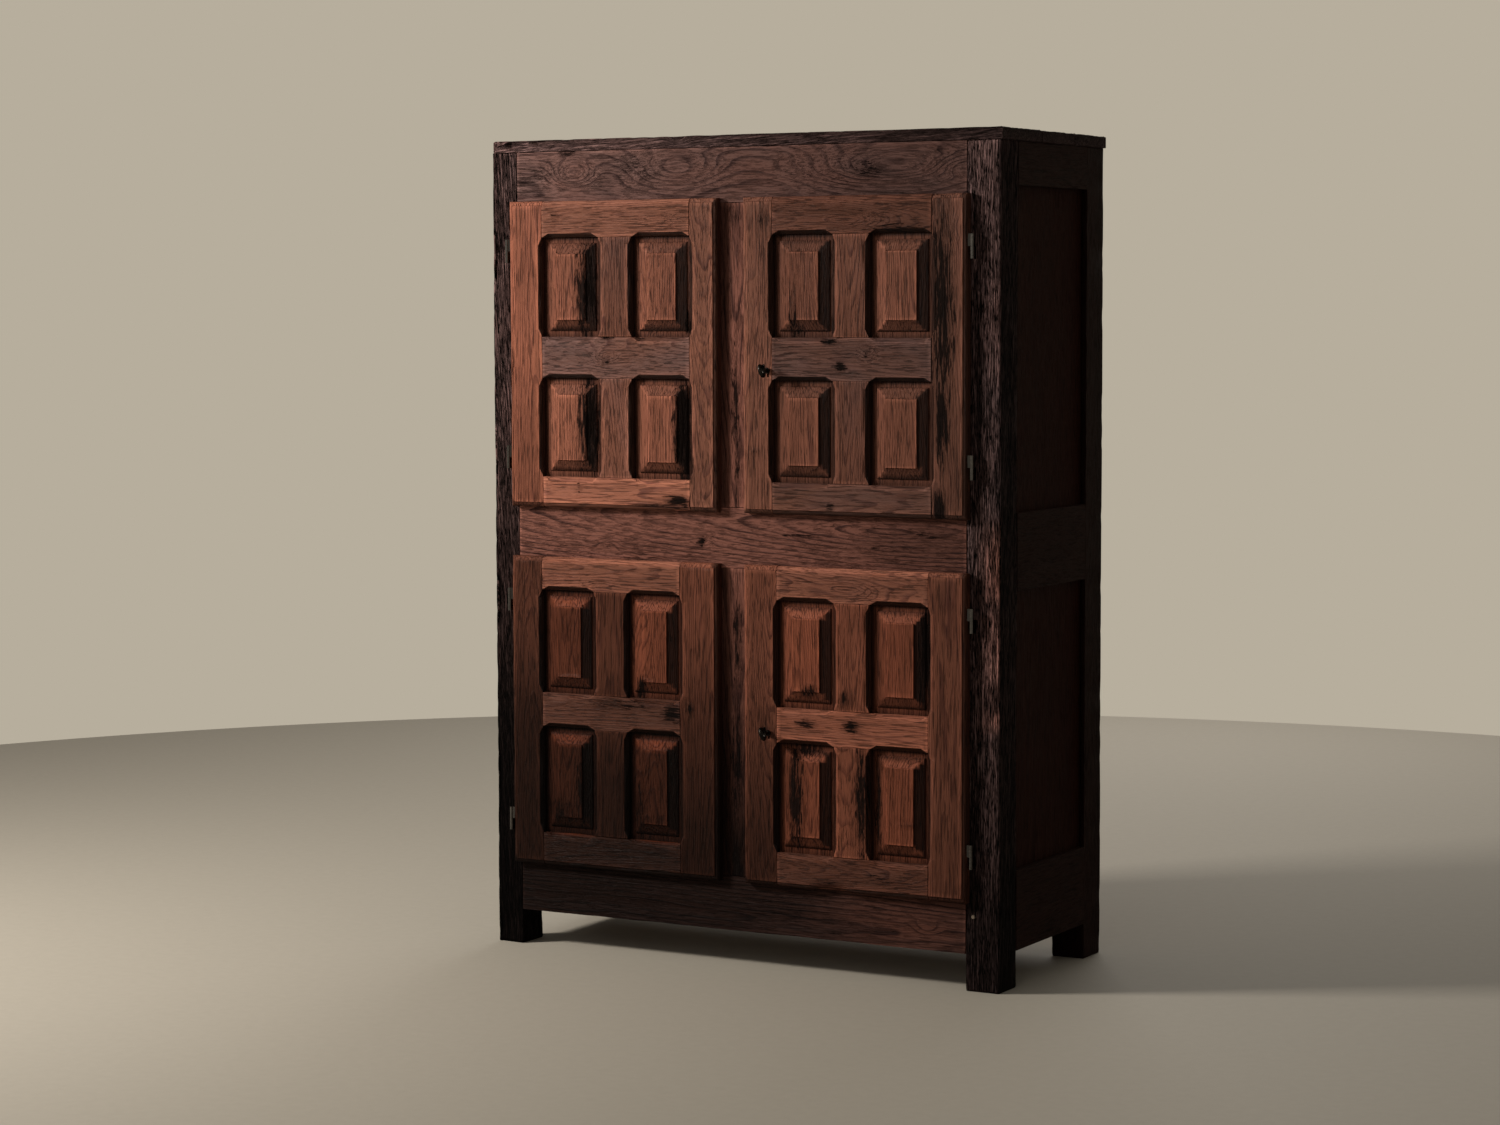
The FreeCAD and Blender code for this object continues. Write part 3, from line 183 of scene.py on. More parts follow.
def wood(name, early, late, grey, crack, weather, rings, sheen, relief, spacing=0.005, streaks=1.2,
         gloss=0.22, fineness=1.0):
    """Wood cut from a log. The grain attribute says where in its log each point of a board lies.

    early and late are the two woods of a ring, grey is early wood that has weathered, and crack is
    the colour in a split. weather, rings and streaks say how strong each of them is.
    """
    recipe = Recipe(name, Specular_IOR_Level=gloss)
    across, deep, along = recipe.attribute("grain").axes()
    shade, greyness, red = recipe.attribute("tone").axes()
    # The wear attribute carries rubbed edges with painted highlights, dirt with painted shade, and
    # char.
    edge, dirt_and_shade, char = recipe.attribute("wear").axes()
    decay = recipe.attribute("decay").axes()[0] * weather

    def grained(stretch, scale, detail, roughness=0.5, aside=0.0):
        """Noise drawn out along the grain; the smaller the stretch, the longer its lines."""
        return recipe.noise(recipe.vector(across + aside, deep, along * stretch), scale, detail,
                            roughness)

    # The rings of the log, where the board cuts them, and the branches that lift them.
    x = across + grained(0.14, 11.0, 2.0).swing(RINGS_WANDER)
    y = deep + grained(0.14, 13.0, 2.0, aside=3.1).swing(RINGS_WANDER)
    branches = recipe.node("ShaderNodeTexVoronoi", {}, Scale=BRANCH_SCALE,
                           Vector=recipe.vector(across, deep, along * 0.5))
    branch = 1 - (branches * BRANCH_CELL).step(0.0, BRANCH_EDGE)
    radius = (x * x + y * y).math("SQRT") + branch * BRANCH_LIFT
    ring = (radius / spacing + grained(0.2, 60.0, 2.0) * 0.45).math("FRACT")
    latewood = ring.step(*LATE_BEGINS) * (1 - ring.step(*LATE_STOPS))
    calm = grained(0.3, 22.0, 2.0).step(0.35, 0.65) * 0.55 + 0.45

    # What runs along the grain, from the finest to the broadest, and the crackle of charred wood.
    fibre = grained(0.025, 700.0, 3.0, 0.6)
    pores = grained(0.05, 300.0, 2.0).step(0.55, 0.64)
    lines = grained(0.018, 330.0, 3.0, 0.75)
    streak = grained(0.06, 48.0, 3.0, 0.6)
    blotch = grained(0.4, 9.0, 4.0, 0.6)
    crackle = grained(0.10, 230.0 * fineness, 3.0, 0.6)

    # Splits follow the grain and open in blotches; fissures come with decay.
    split = 1 - grained(0.05, 85.0 * fineness, 4.0, 0.62).swing(7.0).math("ABSOLUTE")
    split = split.math("MAXIMUM", 0.0) ** 3.0
    opened = blotch.step(0.62 - weather * 0.5, 0.86 - weather * 0.4)
    open_grain = split * opened * (0.4 + decay * 0.7)
    fissures = (0.5 - crackle).step(0.01, 0.12) * decay

    # The bare wood, fresh and faded.
    figure = latewood * rings * calm + streak.swing(0.5) + lines.swing(streaks) + 0.2
    colour = recipe.mix(figure, early, late)
    faded = recipe.mix(figure * 0.8, grey, late)
    colour = recipe.mix((greyness + blotch.swing(1.2)).step(0.2, 1.2), colour, faded)

    # Its lightness, from the grain, the board's own tone (which holds painted shade on some boards),
    # rubbing and painted highlights, dirt and painted shade, and char.
    value = 1 + lines.swing(streaks * 0.8) + streak.swing(streaks * 0.6)
    value = value * shade * (1 - pores * (0.2 + streaks * 0.2)) * (0.7 + blotch * 0.6)
    value = value * (1 + edge * 0.55) * (1 - dirt_and_shade * 0.95) * (1 - char * 0.5)
    colour = recipe.mix(1.0, colour, recipe.vector(value, value, value), "MULTIPLY")
    warm = recipe.vector(red * 0.42 + 0.76, 1.14 - red * 0.1, 1.72 - red * 0.5)
    colour = recipe.mix(1.0, colour, warm, "MULTIPLY")

    # Burnt patches break up at their rims. They, the splits and the fissures are the darkest.
    rim = crackle.swing(1.7) + streak.swing(1.0) + lines.swing(1.0)
    burnt = (char * 0.62 + rim * char.step(0.0, 0.35)).step(0.36, 0.56)
    dark = (open_grain + burnt * 0.95 + fissures * 1.1).math("MINIMUM", 1.0)
    colour = recipe.mix(dark, colour, crack)

    height = latewood * 0.35 + fibre * 0.4 + lines * 1.4 - pores * 0.6 + streak * 1.2
    height = height - open_grain * (2.0 + weather * 3.0) - fissures * 2.5
    height = height - burnt * 2.5 + char * crackle * 4.0
    rough = (sheen + fibre.swing(0.25) + dark * 0.4 + dirt_and_shade * 0.15).math("MINIMUM", 0.98)
    return recipe.finish(colour, rough, height, relief)


# Points nearer than this are one point, and points this near a cut lie on it.
SAME_POINT, ON_CUT = 2e-6, 1e-6


def copied(node):
    """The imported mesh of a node, to work on, with its doubled points merged."""
    bm = bmesh.new()
    bm.from_mesh(nodes[node].data)
    bmesh.ops.remove_doubles(bm, verts=bm.verts, dist=SAME_POINT)
    return bm


def islands(bm):
    """The separate solids of a mesh, each a list of vertices."""
    bm.verts.index_update()
    left = set(bm.verts)
    while left:
        first = min(left, key=lambda v: v.index)
        found, queue = {first}, [first]
        while queue:
            for edge in queue.pop().link_edges:
                for vertex in edge.verts:
                    if vertex not in found:
                        found.add(vertex)
                        queue.append(vertex)
        left -= found
        yield sorted(found, key=lambda v: v.index)


def sliced(bm, axis, at):
    """Cuts the mesh across one axis, so that its faces can bend there or change colour."""
    normal = Vector((axis == 0, axis == 1, axis == 2))
    bmesh.ops.bisect_plane(bm, geom=bm.verts[:] + bm.edges[:] + bm.faces[:], dist=ON_CUT,
                           plane_co=normal * at, plane_no=normal)


def reach(at, place):
    """How far a point lies from the middle of an oval, squared, where 1 is on its edge."""
    x, z, half_x, half_z = place
    return ((at.x - x) / half_x) ** 2 + ((at.z - z) / half_z) ** 2


def lightness(light, share):
    """The lightness at a share of a board's length, from the few that are given."""
    place = min(max(share * len(light) - 0.5, 0.0), len(light) - 1.0)
    first = min(int(place), len(light) - 2)
    return light[first] + (light[first + 1] - light[first]) * (place - first)


def limits(vertices):
    """The lowest and highest corners of some vertices."""
    return [[pick(v.co[axis] for v in vertices) for axis in range(3)] for pick in (min, max)]


def linked(piece_name, bm, material, body, slot, sharp=math.radians(40)):
    """Makes an object of a finished bmesh and lets it ride its body."""
    for face in bm.faces:
        face.smooth = True
    for edge in bm.edges:
        edge.smooth = edge.calc_face_angle(0) < sharp
    mesh = bpy.data.meshes.new(piece_name)
    bm.to_mesh(mesh)
    bm.free()
    mesh.materials.append(material)
    piece = bpy.data.objects.new(piece_name, mesh)
    bpy.context.scene.collection.objects.link(piece)
    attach(piece, body)
    return piece


# The plane of the posts' front faces. The front that carries the marks lies before a plane
# FRONT_DEPTH behind it, and faces no more than FRONT_FACING backwards.
FRONT_Y, FRONT_DEPTH, FRONT_FACING = -0.248, 0.004, 0.3
# How deep a panel's edge stands in its groove, and where the panel is cut, inwards from there.
TONGUE, PANEL_CUTS = 0.007, (0.003, 0.009)
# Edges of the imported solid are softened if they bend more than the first, and dropped if they bend
# less than the last. Edges of the copy that bend less than the second are shaded as one face.
ARRIS_ANGLE, SMOOTH_ANGLE, FLAT_ANGLE = math.radians(28), math.radians(22), math.radians(0.5)
# How far a cut may stray from its place, as a share of the distance between two cuts.
CUTS_STRAY = 0.25


def cut_up(node, wear, chance):
    """A copy of a wooden node with softened arrises, cut into faces small enough to move."""
    bm = copied(node)
    bmesh.ops.dissolve_limit(bm, angle_limit=FLAT_ANGLE, verts=bm.verts, edges=bm.edges)
    sharp = [e for e in bm.edges
             if len(e.link_faces) == 2 and e.calc_face_angle(0) > ARRIS_ANGLE]
    bmesh.ops.bevel(bm, geom=sharp, offset=wear["arris"], offset_type="OFFSET", segments=2,
                    profile=0.5, affect="EDGES", material=-1, clamp_overlap=False)
    low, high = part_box(node)
    size = high - low
    order = sorted(range(3), key=lambda axis: -size[axis])
    for axis, step in zip(order, (wear["along"], wear["across"])):
        count = max(1, round(size[axis] / step))
        for n in range(1, count):
            stray = chance.uniform(-CUTS_STRAY, CUTS_STRAY)
            sliced(bm, axis, low[axis] + size[axis] * (n + stray) / count)
    if node.endswith("_panels"):
        boxes = [limits(solid) for solid in islands(bm)]
        cuts = {(axis, round(box[end][axis] + (TONGUE + inside) * (1 - 2 * end), 5))
                for box in boxes for axis in (0, 2) for end in (0, 1) for inside in PANEL_CUTS}
        for axis, at in sorted(cuts):
            sliced(bm, axis, at)
    bmesh.ops.triangulate(bm, faces=[f for f in bm.faces if len(f.verts) > 4])
    bm.normal_update()
    return bm


# How far a dent and a burn reach, in their half sizes, and how deep a burn eats into the wood.
DENT_REACH, BURN_REACH, BURN_DEPTH = 2.2, 1.6, 0.0015


def marked(at, knots, dents, marks):
    """The rise of the rings, the depth, the lightening and the burn at a point of the front."""
    swell = sum(rise * math.exp(-reach(at, place)) for *place, rise in knots)
    dent, lighter = 0.0, 0.0
    for *place, depth, bare in dents:
        strength = max(0.0, 1 - reach(at, place) / DENT_REACH)
        dent = max(dent, depth * strength)
        lighter += bare * strength
    char = max((strength * (BURN_REACH - math.sqrt(reach(at, place)))
                for *place, strength in marks), default=0.0)
    return swell, dent, lighter, max(char, 0.0)


# Dirt in the line of a joint, how wide that line is, and the painted shade on the right post's side
# faces.
JOINT_DIRT, JOINT_LINE, SIDE_SHADE = 0.85, 0.0015, 0.7
# An edge that bends outwards by more radians than the first is rubbed pale, as wear and as a painted
# highlight on the arris, unless it is burnt, dirty or painted in shade beyond the others.
RUBBED_FROM, NOT_BURNT, NOT_DIRTY_OR_SHADED = 0.2, 0.3, 0.8
# Wear is drawn out along the grain, by this share. Then its bends, chips and furrows to the metre.
DRAWN_OUT, BENDS, CHIPS, FURROWS = 0.25, 9, 70, 45
# A board's place in its log: the pith's distance aside, in board widths, its lean across and deep,
# and how far along it may start. Then how much the boards of a node differ in lightness.
PITH_ASIDE, PITH_LEANS, LOG_LENGTH, OWN_LIGHTNESS = 0.35, (0.03, 0.09), 40, (0.96, 1.04)
# Chips are taken where their noise passes a floor, and furrows where theirs is a sharp valley.
CHIP_FLOOR, FURROW_SHARPNESS = 0.15, 5
# Bare wood is redder, and panels are chipped evenly. Hidden faces, ends and undersides, move less.
BARE_RED, PANEL_CHIPS, HIDDEN_SHARE, END_FACING, UNDER_FACING = 0.45, 0.3, 0.1, 0.8, -0.5


def aged(node, material, wear, light=1.0, grey=0.3, red=0.5, rot=1.0, pith=(0.02, 0.07), knots=(),
         dents=(), marks=(), painted_shading=None):
    """A worn copy of a wooden node: softened arrises, uneven faces, and each board's own grain.

    light is the share of the wood's own lightness. Along some nodes, such as the lower left door and
    the front bottom rail, it also holds painted shade, darker towards the floor and the left where
    the key lamp's light falls off. Several numbers run along the node, and four are those of a
    door's panels. pith is how far, at least and at most, the middle of the log lies from a board.
    knots, dents and marks are ovals on the front, by X and Z of their middle and by their half
    sizes; then comes how far the rings rise, or how deep it is and how much lighter, or how badly it
    is burnt.
    The last argument, when given, tells the painted shade and painted highlight at a point of the
    front.
    """
    light = light if isinstance(light, tuple) else (light, light)
    is_panel = node.endswith("_panels")
    has_joints = node.endswith(("rail", "muntins", "mullions"))
    chance = random.Random(node)
    bm = cut_up(node, wear, chance)
    low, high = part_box(node)
    size = high - low
    is_upright = size.z > max(size.x, size.y)

    layers = {name: bm.verts.layers.float_vector.new(name)
              for name in ("grain", "tone", "wear", "decay")}
    moves = {}
    for solid in list(islands(bm)):
        corner, top = limits(solid)
        span = [high_end - low_end for low_end, high_end in zip(corner, top)]
        middle = [(low_end + high_end) / 2 for low_end, high_end in zip(corner, top)]
        length, width, thin = sorted(range(3), key=lambda axis: -span[axis])
        away = chance.uniform(*pith) * chance.choice((-1, 1))
        aside = chance.uniform(-PITH_ASIDE, PITH_ASIDE) * span[width]
        lean = [chance.uniform(-slope, slope) for slope in PITH_LEANS]
        start = chance.uniform(0, LOG_LENGTH)
        own = chance.uniform(*OWN_LIGHTNESS)
        ends = light
        if is_panel and len(light) == 4:
            on_right = middle[0] > (low.x + high.x) / 2
            is_low = middle[2] < (low.z + high.z) / 2
            ends = (light[on_right + 2 * is_low],) * 2
        for vertex in solid:
            at, facing = vertex.co, vertex.normal
            run = at[length] - middle[length]
            swell, dent, lighter, char, dirt_and_shade, painted_highlight = 0.0, 0.0, 0.0, 0.0, 0.0, 0.0
            if at.y < FRONT_Y + FRONT_DEPTH and facing.y < FRONT_FACING:
                swell, dent, lighter, char = marked(at, knots, dents, marks)
                # Door fronts get their painted shade and painted highlights here.
                if painted_shading:
                    dirt_and_shade, painted_highlight = painted_shading(at, facing, (corner, top) if is_panel else None)
                if has_joints and span[length] / 2 - abs(run) < JOINT_LINE:
                    dirt_and_shade = JOINT_DIRT
            # The right post's faces that look aside get painted shade.
            elif node == "front_right_post":
                dirt_and_shade = SIDE_SHADE
            convex = max((e.calc_face_angle_signed(0) for e in vertex.link_edges), default=0)
            is_rubbed = convex > RUBBED_FROM and char < NOT_BURNT and dirt_and_shade < NOT_DIRTY_OR_SHADED
            edge = 1.0 if is_rubbed else painted_highlight
            share = (high.z - at.z) / size.z if is_upright else (at.x - low.x) / size.x
            bared = max(lighter, 0.0)
            vertex[layers["grain"]] = (at[width] - middle[width] - aside - lean[0] * run,
                                       at[thin] - middle[thin] - away - lean[1] * run + swell,
                                       run + start)
            vertex[layers["tone"]] = (max(0.05, lightness(ends, share) * own * (1 + lighter)),
                                      grey * max(1 - bared, 0.0), red + bared * BARE_RED)
            vertex[layers["wear"]] = (edge, dirt_and_shade, char)
            vertex[layers["decay"]] = (rot, 0.0, 0.0)
            spot = at.copy()
            spot[length] *= DRAWN_OUT
            bend = noise.noise(spot * BENDS + Vector((start, 0, 0))) * 0.5 + 0.5
            chip = max(0.0, noise.noise(spot * CHIPS + Vector((0, start, 0))) + CHIP_FLOOR)
            ridge = abs(noise.noise(spot * FURROWS + Vector((0, 0, start)))) * FURROW_SHARPNESS
            furrow = max(0.0, 1 - ridge) * wear["furrows"]
            chipped = PANEL_CHIPS if is_panel else edge
            uneven = bend * wear["waves"] + chip * wear["chips"] * chipped
            is_under = node == "top_boards" and facing.z < UNDER_FACING
            hidden = abs(facing[length]) > END_FACING or is_under
            moves[vertex] = ((uneven * HIDDEN_SHARE if hidden else uneven + furrow) + dent
                             + min(char, 1.0) * BURN_DEPTH)
    for vertex, move in moves.items():
        spot = vertex.co - vertex.normal * move
        vertex.co = [min(max(at, least), most) for at, least, most in zip(spot, low, high)]
    piece = linked(node + "_aged", bm, material, body_of[node], slot_of[node], SMOOTH_ANGLE)
    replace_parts(piece, node)


# How far wear goes: the softened arris, the chips along it, and the waves and furrows of a face.
# along and across are how far apart the copy is cut, so that its faces can follow.
BEAM_WEAR = dict(arris=0.0020, chips=0.0030, waves=0.0022, along=0.011, across=0.008,
                 furrows=0.0014)
beam_wood = wood("beam_wood", tint("60473b"), tint("33231c"), tint("55453d"), tint("060403"),
                 weather=0.85, rings=0.5, streaks=1.5, gloss=0.04, sheen=0.62, relief=0.0028,
                 fineness=1.8)
side_wood = wood("side_wood", tint("4d2f22"), tint("321d16"), tint("3b2c26"), tint("0d0807"),
                 weather=0.2, rings=0.5, gloss=0.02, sheen=0.6, relief=0.0012)
aged("front_left_post", beam_wood, BEAM_WEAR, light=(1.6, 2.1, 0.85, 0.13, 0.06), grey=0.3, red=0.6,
     dents=[(-0.661, 1.62, 0.02, 0.07, 0.006, 0.0), (-0.661, 1.15, 0.02, 0.09, 0.005, 0.0),
            (-0.661, 0.82, 0.02, 0.06, 0.008, 0.0), (-0.661, 0.38, 0.02, 0.12, 0.005, 0.0),
            (-0.661, 0.04, 0.025, 0.04, 0.006, 0.0)])
aged("front_right_post", beam_wood, BEAM_WEAR, light=(2.7, 1.65, 2.0, 2.05, 0.5), grey=0.5, red=0.6,
     dents=[(0.66, 0.951, 0.009, 0.07, 0.003, 1.6), (0.656, 0.762, 0.011, 0.117, 0.003, 0.9),
            (0.642, 0.603, 0.018, 0.027, 0.002, 1.4), (0.642, 1.46, 0.018, 0.117, 0.0, 0.5),
            (0.626, 0.363, 0.007, 0.023, 0.0, 0.8)])
# The rear posts are dark wood, painted darker still as the shade of the side away from the key lamp.
aged("rear_posts", side_wood, BEAM_WEAR, light=0.18, grey=0.2, red=0.6)


# A draw-bore peg of pale wood shows in the foot of the right post, where it holds the tenon of the
# bottom rail. It is a round pin, a little tapered, and its end stands just proud of the worn face.
PEG_AT, PEG_LENGTH = Vector((0.597, FRONT_Y + 0.0002, 0.167)), 0.004
PEG_BACK, PEG_FRONT = 0.0045, 0.0036
PEG_TONE = (1.1, 0.6, 0.3)
QUARTER_TURN = Matrix.Rotation(math.radians(90), 4, "X")
inner_wood = wood("inner_wood", tint("8d6f4e"), tint("6b4f35"), tint("71604c"), tint("261b14"),
                  weather=0.1, rings=0.5, sheen=0.7, relief=0.0008)
bm = bmesh.new()
tone = bm.verts.layers.float_vector.new("tone")
bmesh.ops.create_cone(bm, cap_ends=True, segments=20, radius1=PEG_BACK, radius2=PEG_FRONT,
                      depth=PEG_LENGTH, matrix=Matrix.Translation(PEG_AT) @ QUARTER_TURN)
for vertex in bm.verts:
    vertex[tone] = PEG_TONE
linked("post_peg", bm, inner_wood, body_of["front_right_post"], slot_of["front_right_post"])


# Three boards close the top, nailed down on the posts and rails. Their front edge is weathered and
# eroded between the hard rings, and its left corner is worn round.
aged("top_boards", beam_wood, BEAM_WEAR, light=(3.0, 1.75, 0.92), grey=0.4, red=0.6, rot=0.4,
     knots=[(-0.15, 1.894, 0.022, 0.012, 0.02)],
     dents=[(-0.664, 1.9, 0.034, 0.016, 0.014, 0.0)])


# Three rails and two short mullions fill the front between the posts. They are sawn oak with a wide
# figure: the top rail shows knots and arches, and the mullions are charred down their middles.
RAIL_WEAR = dict(arris=0.0012, chips=0.0014, waves=0.0014, along=0.010, across=0.010,
                 furrows=0.0)
rail_wood = wood("rail_wood", tint("8a5e49"), tint("3d2720"), tint("725a4c"), tint("110b0a"),
                 spacing=0.0095, weather=0.3, rings=0.75, streaks=0.8, gloss=0.05, sheen=0.52,
                 relief=0.0012)
aged("front_top_rail", rail_wood, RAIL_WEAR, light=(1.06, 0.76, 0.64), grey=0.6, red=0.65,
     pith=(0.06, 0.21),
     knots=[(-0.434, 1.821, 0.055, 0.03, 0.045), (-0.16, 1.826, 0.12, 0.05, 0.05),
            (0.4, 1.824, 0.21, 0.05, 0.08), (0.56, 1.815, 0.06, 0.022, -0.03)],
     marks=[(0.342, 1.812, 0.04, 0.018, 0.5), (-0.45, 1.87, 0.025, 0.009, 0.5)])
aged("front_middle_rail", rail_wood, RAIL_WEAR, light=(1.1, 1.07, 0.9), grey=0.05, red=0.9,
     knots=[(-0.094, 0.977, 0.027, 0.014, 0.014)],
     dents=[(0.52, 0.99, 0.16, 0.06, 0.0, -0.4)],
     marks=[(-0.094, 0.977, 0.008, 0.009, 1.0), (0.341, 0.98, 0.149, 0.006, 0.6),
            (0.164, 0.994, 0.077, 0.005, 0.5), (0.49, 1.009, 0.049, 0.007, 0.5),
            (-0.367, 0.959, 0.163, 0.006, 0.4)])
# The front bottom rail is painted nearly black towards its left, as shade under the doors where the
# key lamp's light falls off.
aged("front_bottom_rail", rail_wood, RAIL_WEAR, light=(0.055, 0.085, 0.3), grey=0.3, red=0.7,
     dents=[(-0.3, 0.118, 0.2, 0.016, 0.004, 0.0), (0.15, 0.118, 0.12, 0.016, 0.005, 0.0),
            (0.46, 0.118, 0.07, 0.016, 0.003, 0.2), (0.42, 0.15, 0.18, 0.06, 0.0, 0.5)])
# The darker ovals down the mullions' left parts are the painted shadow of the left doors' edges.
aged("mullions", rail_wood, RAIL_WEAR, light=(0.85, 1.35, 1.2, 1.0, 0.45, 0.08), grey=0.1, red=0.95,
     dents=[(-0.034, 1.4, 0.013, 0.42, 0.0, -0.75), (-0.034, 0.56, 0.013, 0.42, 0.0, -0.75)],
     marks=[(-0.001, 1.255, 0.013, 0.204, 0.5), (0.001, 1.142, 0.01, 0.091, 0.6),
            (-0.002, 1.718, 0.016, 0.031, 0.5), (0.0, 0.754, 0.013, 0.114, 0.7),
            (-0.004, 0.478, 0.013, 0.138, 0.7), (0.0, 0.224, 0.016, 0.069, 0.8)])


# Each side is a frame of three rails between its posts, and two plain panels stand loose in its
# grooves. It is dark, reddish and less worn than the front, and is painted darker still as the shade
# of a side that the key lamp does not reach.
PANEL_WEAR = dict(arris=0.0008, chips=0.0008, waves=0.0012, along=0.03, across=0.04,
                  furrows=0.0)
aged("side_rails", side_wood, RAIL_WEAR, light=0.2, grey=0.2, red=0.6)
aged("side_panels", side_wood, PANEL_WEAR, light=0.16, grey=0.0, red=1.4)


# Back, floor and shelves are plain pine boards, nailed to rails and battens. They are dry, pale and
# never waxed.
INNER_WEAR = dict(arris=0.0009, chips=0.0006, waves=0.0008, along=0.05, across=0.05,
                  furrows=0.0)
for piece in ("back_boards", "bottom_boards", "loose_shelves", "middle_shelf", "rear_rails",
              "shelf_battens"):
    aged(piece, inner_wood, INNER_WEAR)


# The upper left door: waxed oak stiles, rails and muntins with chamfered openings, and four raised
# panels in grooves. It is the lightest door; three of its panels are burnt along their right edges.
DOOR_WEAR = dict(arris=0.0014, chips=0.0012, waves=0.0007, along=0.010, across=0.010,
                 furrows=0.0)
door_wood = wood("door_wood", tint("a66848"), tint("5d3527"), tint("7c6153"), tint("0f0806"),
                 spacing=0.0042, weather=0.12, rings=0.6, streaks=1.8, gloss=0.07, sheen=0.46,
                 relief=0.0013)
# The faces of the doors, of the border of a panel and of its field, and the width of the lip that
# is moulded round a door.
DOOR_FACE, PANEL_Y, FIELD_Y, MOULD = -0.270, -0.255, -0.266, 0.0105
# Painted shade grows down to the bottom of an opening, and lies on the faces there that look right
# or down, away from the key lamp.
OPENING_DEPTH, OPENING_SHADE, FACING_SHADE, SHADED_FACING = 0.014, 0.6, 0.9, 0.5
# How far behind a face its hollows begin, how far a point may lie off a face that it belongs to,
# and the height of the step between a panel's border and its bevel.
HOLLOW, OFF_FACE, STEP = 0.0008, 0.001, 0.003
# The lip has a painted highlight at the left and the top, and painted shade at the right and the
# bottom.
LIP_HIGHLIGHT, LIP_SHADE = 0.8, 0.7
# Painted shade at the left, right, top and bottom of a panel: on its border, the painted shadow of
# the frame close to it, on the step, and on the bevel. Close to the frame is a band of SHADE_WIDTH.
BORDER_PAINTED_SHADE, FRAME_SHADOW, SHADE_WIDTH = (0.4, 0.7, 0.4, 0.45), (0.5, 0.2, 0.5, 0.15), 0.006
STEP_SHADE, BEVEL_SHADE, TOP = (0.6, 0.95, 0.6, 0.95), (0.0, 0.95, 0.2, 0.6), 2


def hung(door, looks, top_highlight=0.0):
    """Ages the wooden pieces of a door. Painted shade lies in its hollows and on faces that look
    right or down; painted highlights lie on its lip at the left and top.
    """
    boxes = [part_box(door + piece) for piece in looks]
    left, bottom = (min(box[0][axis] for box in boxes) for axis in (0, 2))
    right, top = (max(box[1][axis] for box in boxes) for axis in (0, 2))

    def painted_shading(at, facing, panel):
        dirt_and_shade = min(max((at.y - DOOR_FACE) / OPENING_DEPTH, 0.0), 1.0) * OPENING_SHADE
        painted_highlight = 0.0
        is_shaded = facing.x > SHADED_FACING or facing.z < -SHADED_FACING
        if at.y > DOOR_FACE + HOLLOW and is_shaded:
            dirt_and_shade = FACING_SHADE
        if at.y > DOOR_FACE + OFF_FACE:
            if min(at.x - left, top - at.z) < MOULD:
                dirt_and_shade, painted_highlight = 0.0, LIP_HIGHLIGHT + top_highlight
            if min(right - at.x, at.z - bottom) < MOULD:
                dirt_and_shade, painted_highlight = LIP_SHADE, 0.0
        if panel:
            low, high = panel
            sides = (at.x - low[0], high[0] - at.x, high[2] - at.z, at.z - low[2])
            side = sides.index(min(sides))
            shaded = min(max((PANEL_CUTS[1] - sides[side] + TONGUE) / SHADE_WIDTH, 0.0), 1.0)
            if at.y > PANEL_Y - OFF_FACE:
                dirt_and_shade = BORDER_PAINTED_SHADE[side] + FRAME_SHADOW[side] * shaded
            elif at.y > PANEL_Y - STEP:
                dirt_and_shade = STEP_SHADE[side]
            elif at.y > FIELD_Y + OFF_FACE:
                dirt_and_shade = BEVEL_SHADE[side]
                # On the lower doors the top bevel takes a painted highlight instead of painted
                # shade.
                if side == TOP and top_highlight:
                    dirt_and_shade, painted_highlight = 0.0, top_highlight
            else:
                dirt_and_shade = 0.0
        return dirt_and_shade, painted_highlight

    for piece, look in looks.items():
        aged(door + piece, door_wood, DOOR_WEAR, painted_shading=painted_shading, **look)


hung("upper_left_", {
    "hinge_stile": dict(light=(0.821, 0.917, 0.663), grey=0.1, red=0.8,
        marks=[(-0.596, 1.364, 0.008, 0.14, 0.35)]),
    "closing_stile": dict(light=(0.66, 0.81, 0.713), grey=0.2, red=0.55,
        dents=[(-0.12, 1.6, 0.01, 0.06, 0.002, 0.4)],
        marks=[(-0.11, 1.549, 0.007, 0.102, 0.55), (-0.107, 1.14, 0.008, 0.032, 0.5)]),
    "top_rail": dict(light=0.862, grey=0.2, red=0.55,
        knots=[(-0.194, 1.713, 0.045, 0.014, 0.014)],
        marks=[(-0.475, 1.72, 0.008, 0.012, 0.6)]),
    "middle_rail": dict(light=0.766, grey=0.7, red=0.52,
        knots=[(-0.331, 1.394, 0.027, 0.016, 0.014)],
        dents=[(-0.335, 1.442, 0.014, 0.008, 0.004, 0.0),
               (-0.244, 1.442, 0.012, 0.007, 0.003, 0.0)],
        marks=[(-0.333, 1.387, 0.008, 0.009, 0.8), (-0.335, 1.442, 0.011, 0.007, 0.7),
               (-0.244, 1.44, 0.011, 0.005, 0.6)]),
    "bottom_rail": dict(light=1.14, grey=0.1, red=0.65,
        dents=[(-0.144, 1.062, 0.036, 0.016, 0.005, 0.0)],
        marks=[(-0.144, 1.066, 0.032, 0.014, 1.0), (-0.206, 1.057, 0.053, 0.007, 0.5),
               (-0.409, 1.094, 0.008, 0.012, 0.5)]),
    "muntins": dict(light=(0.475, 0.714), grey=0.4, red=0.6),
    "panels": dict(light=(0.846, 0.753, 1.017, 0.924), grey=0.1, red=0.72,
        marks=[(-0.392, 1.551, 0.025, 0.12, 0.8), (-0.389, 1.234, 0.027, 0.116, 0.8),
               (-0.135, 1.235, 0.021, 0.119, 0.9), (-0.116, 1.47, 0.013, 0.032, 0.5)])
})


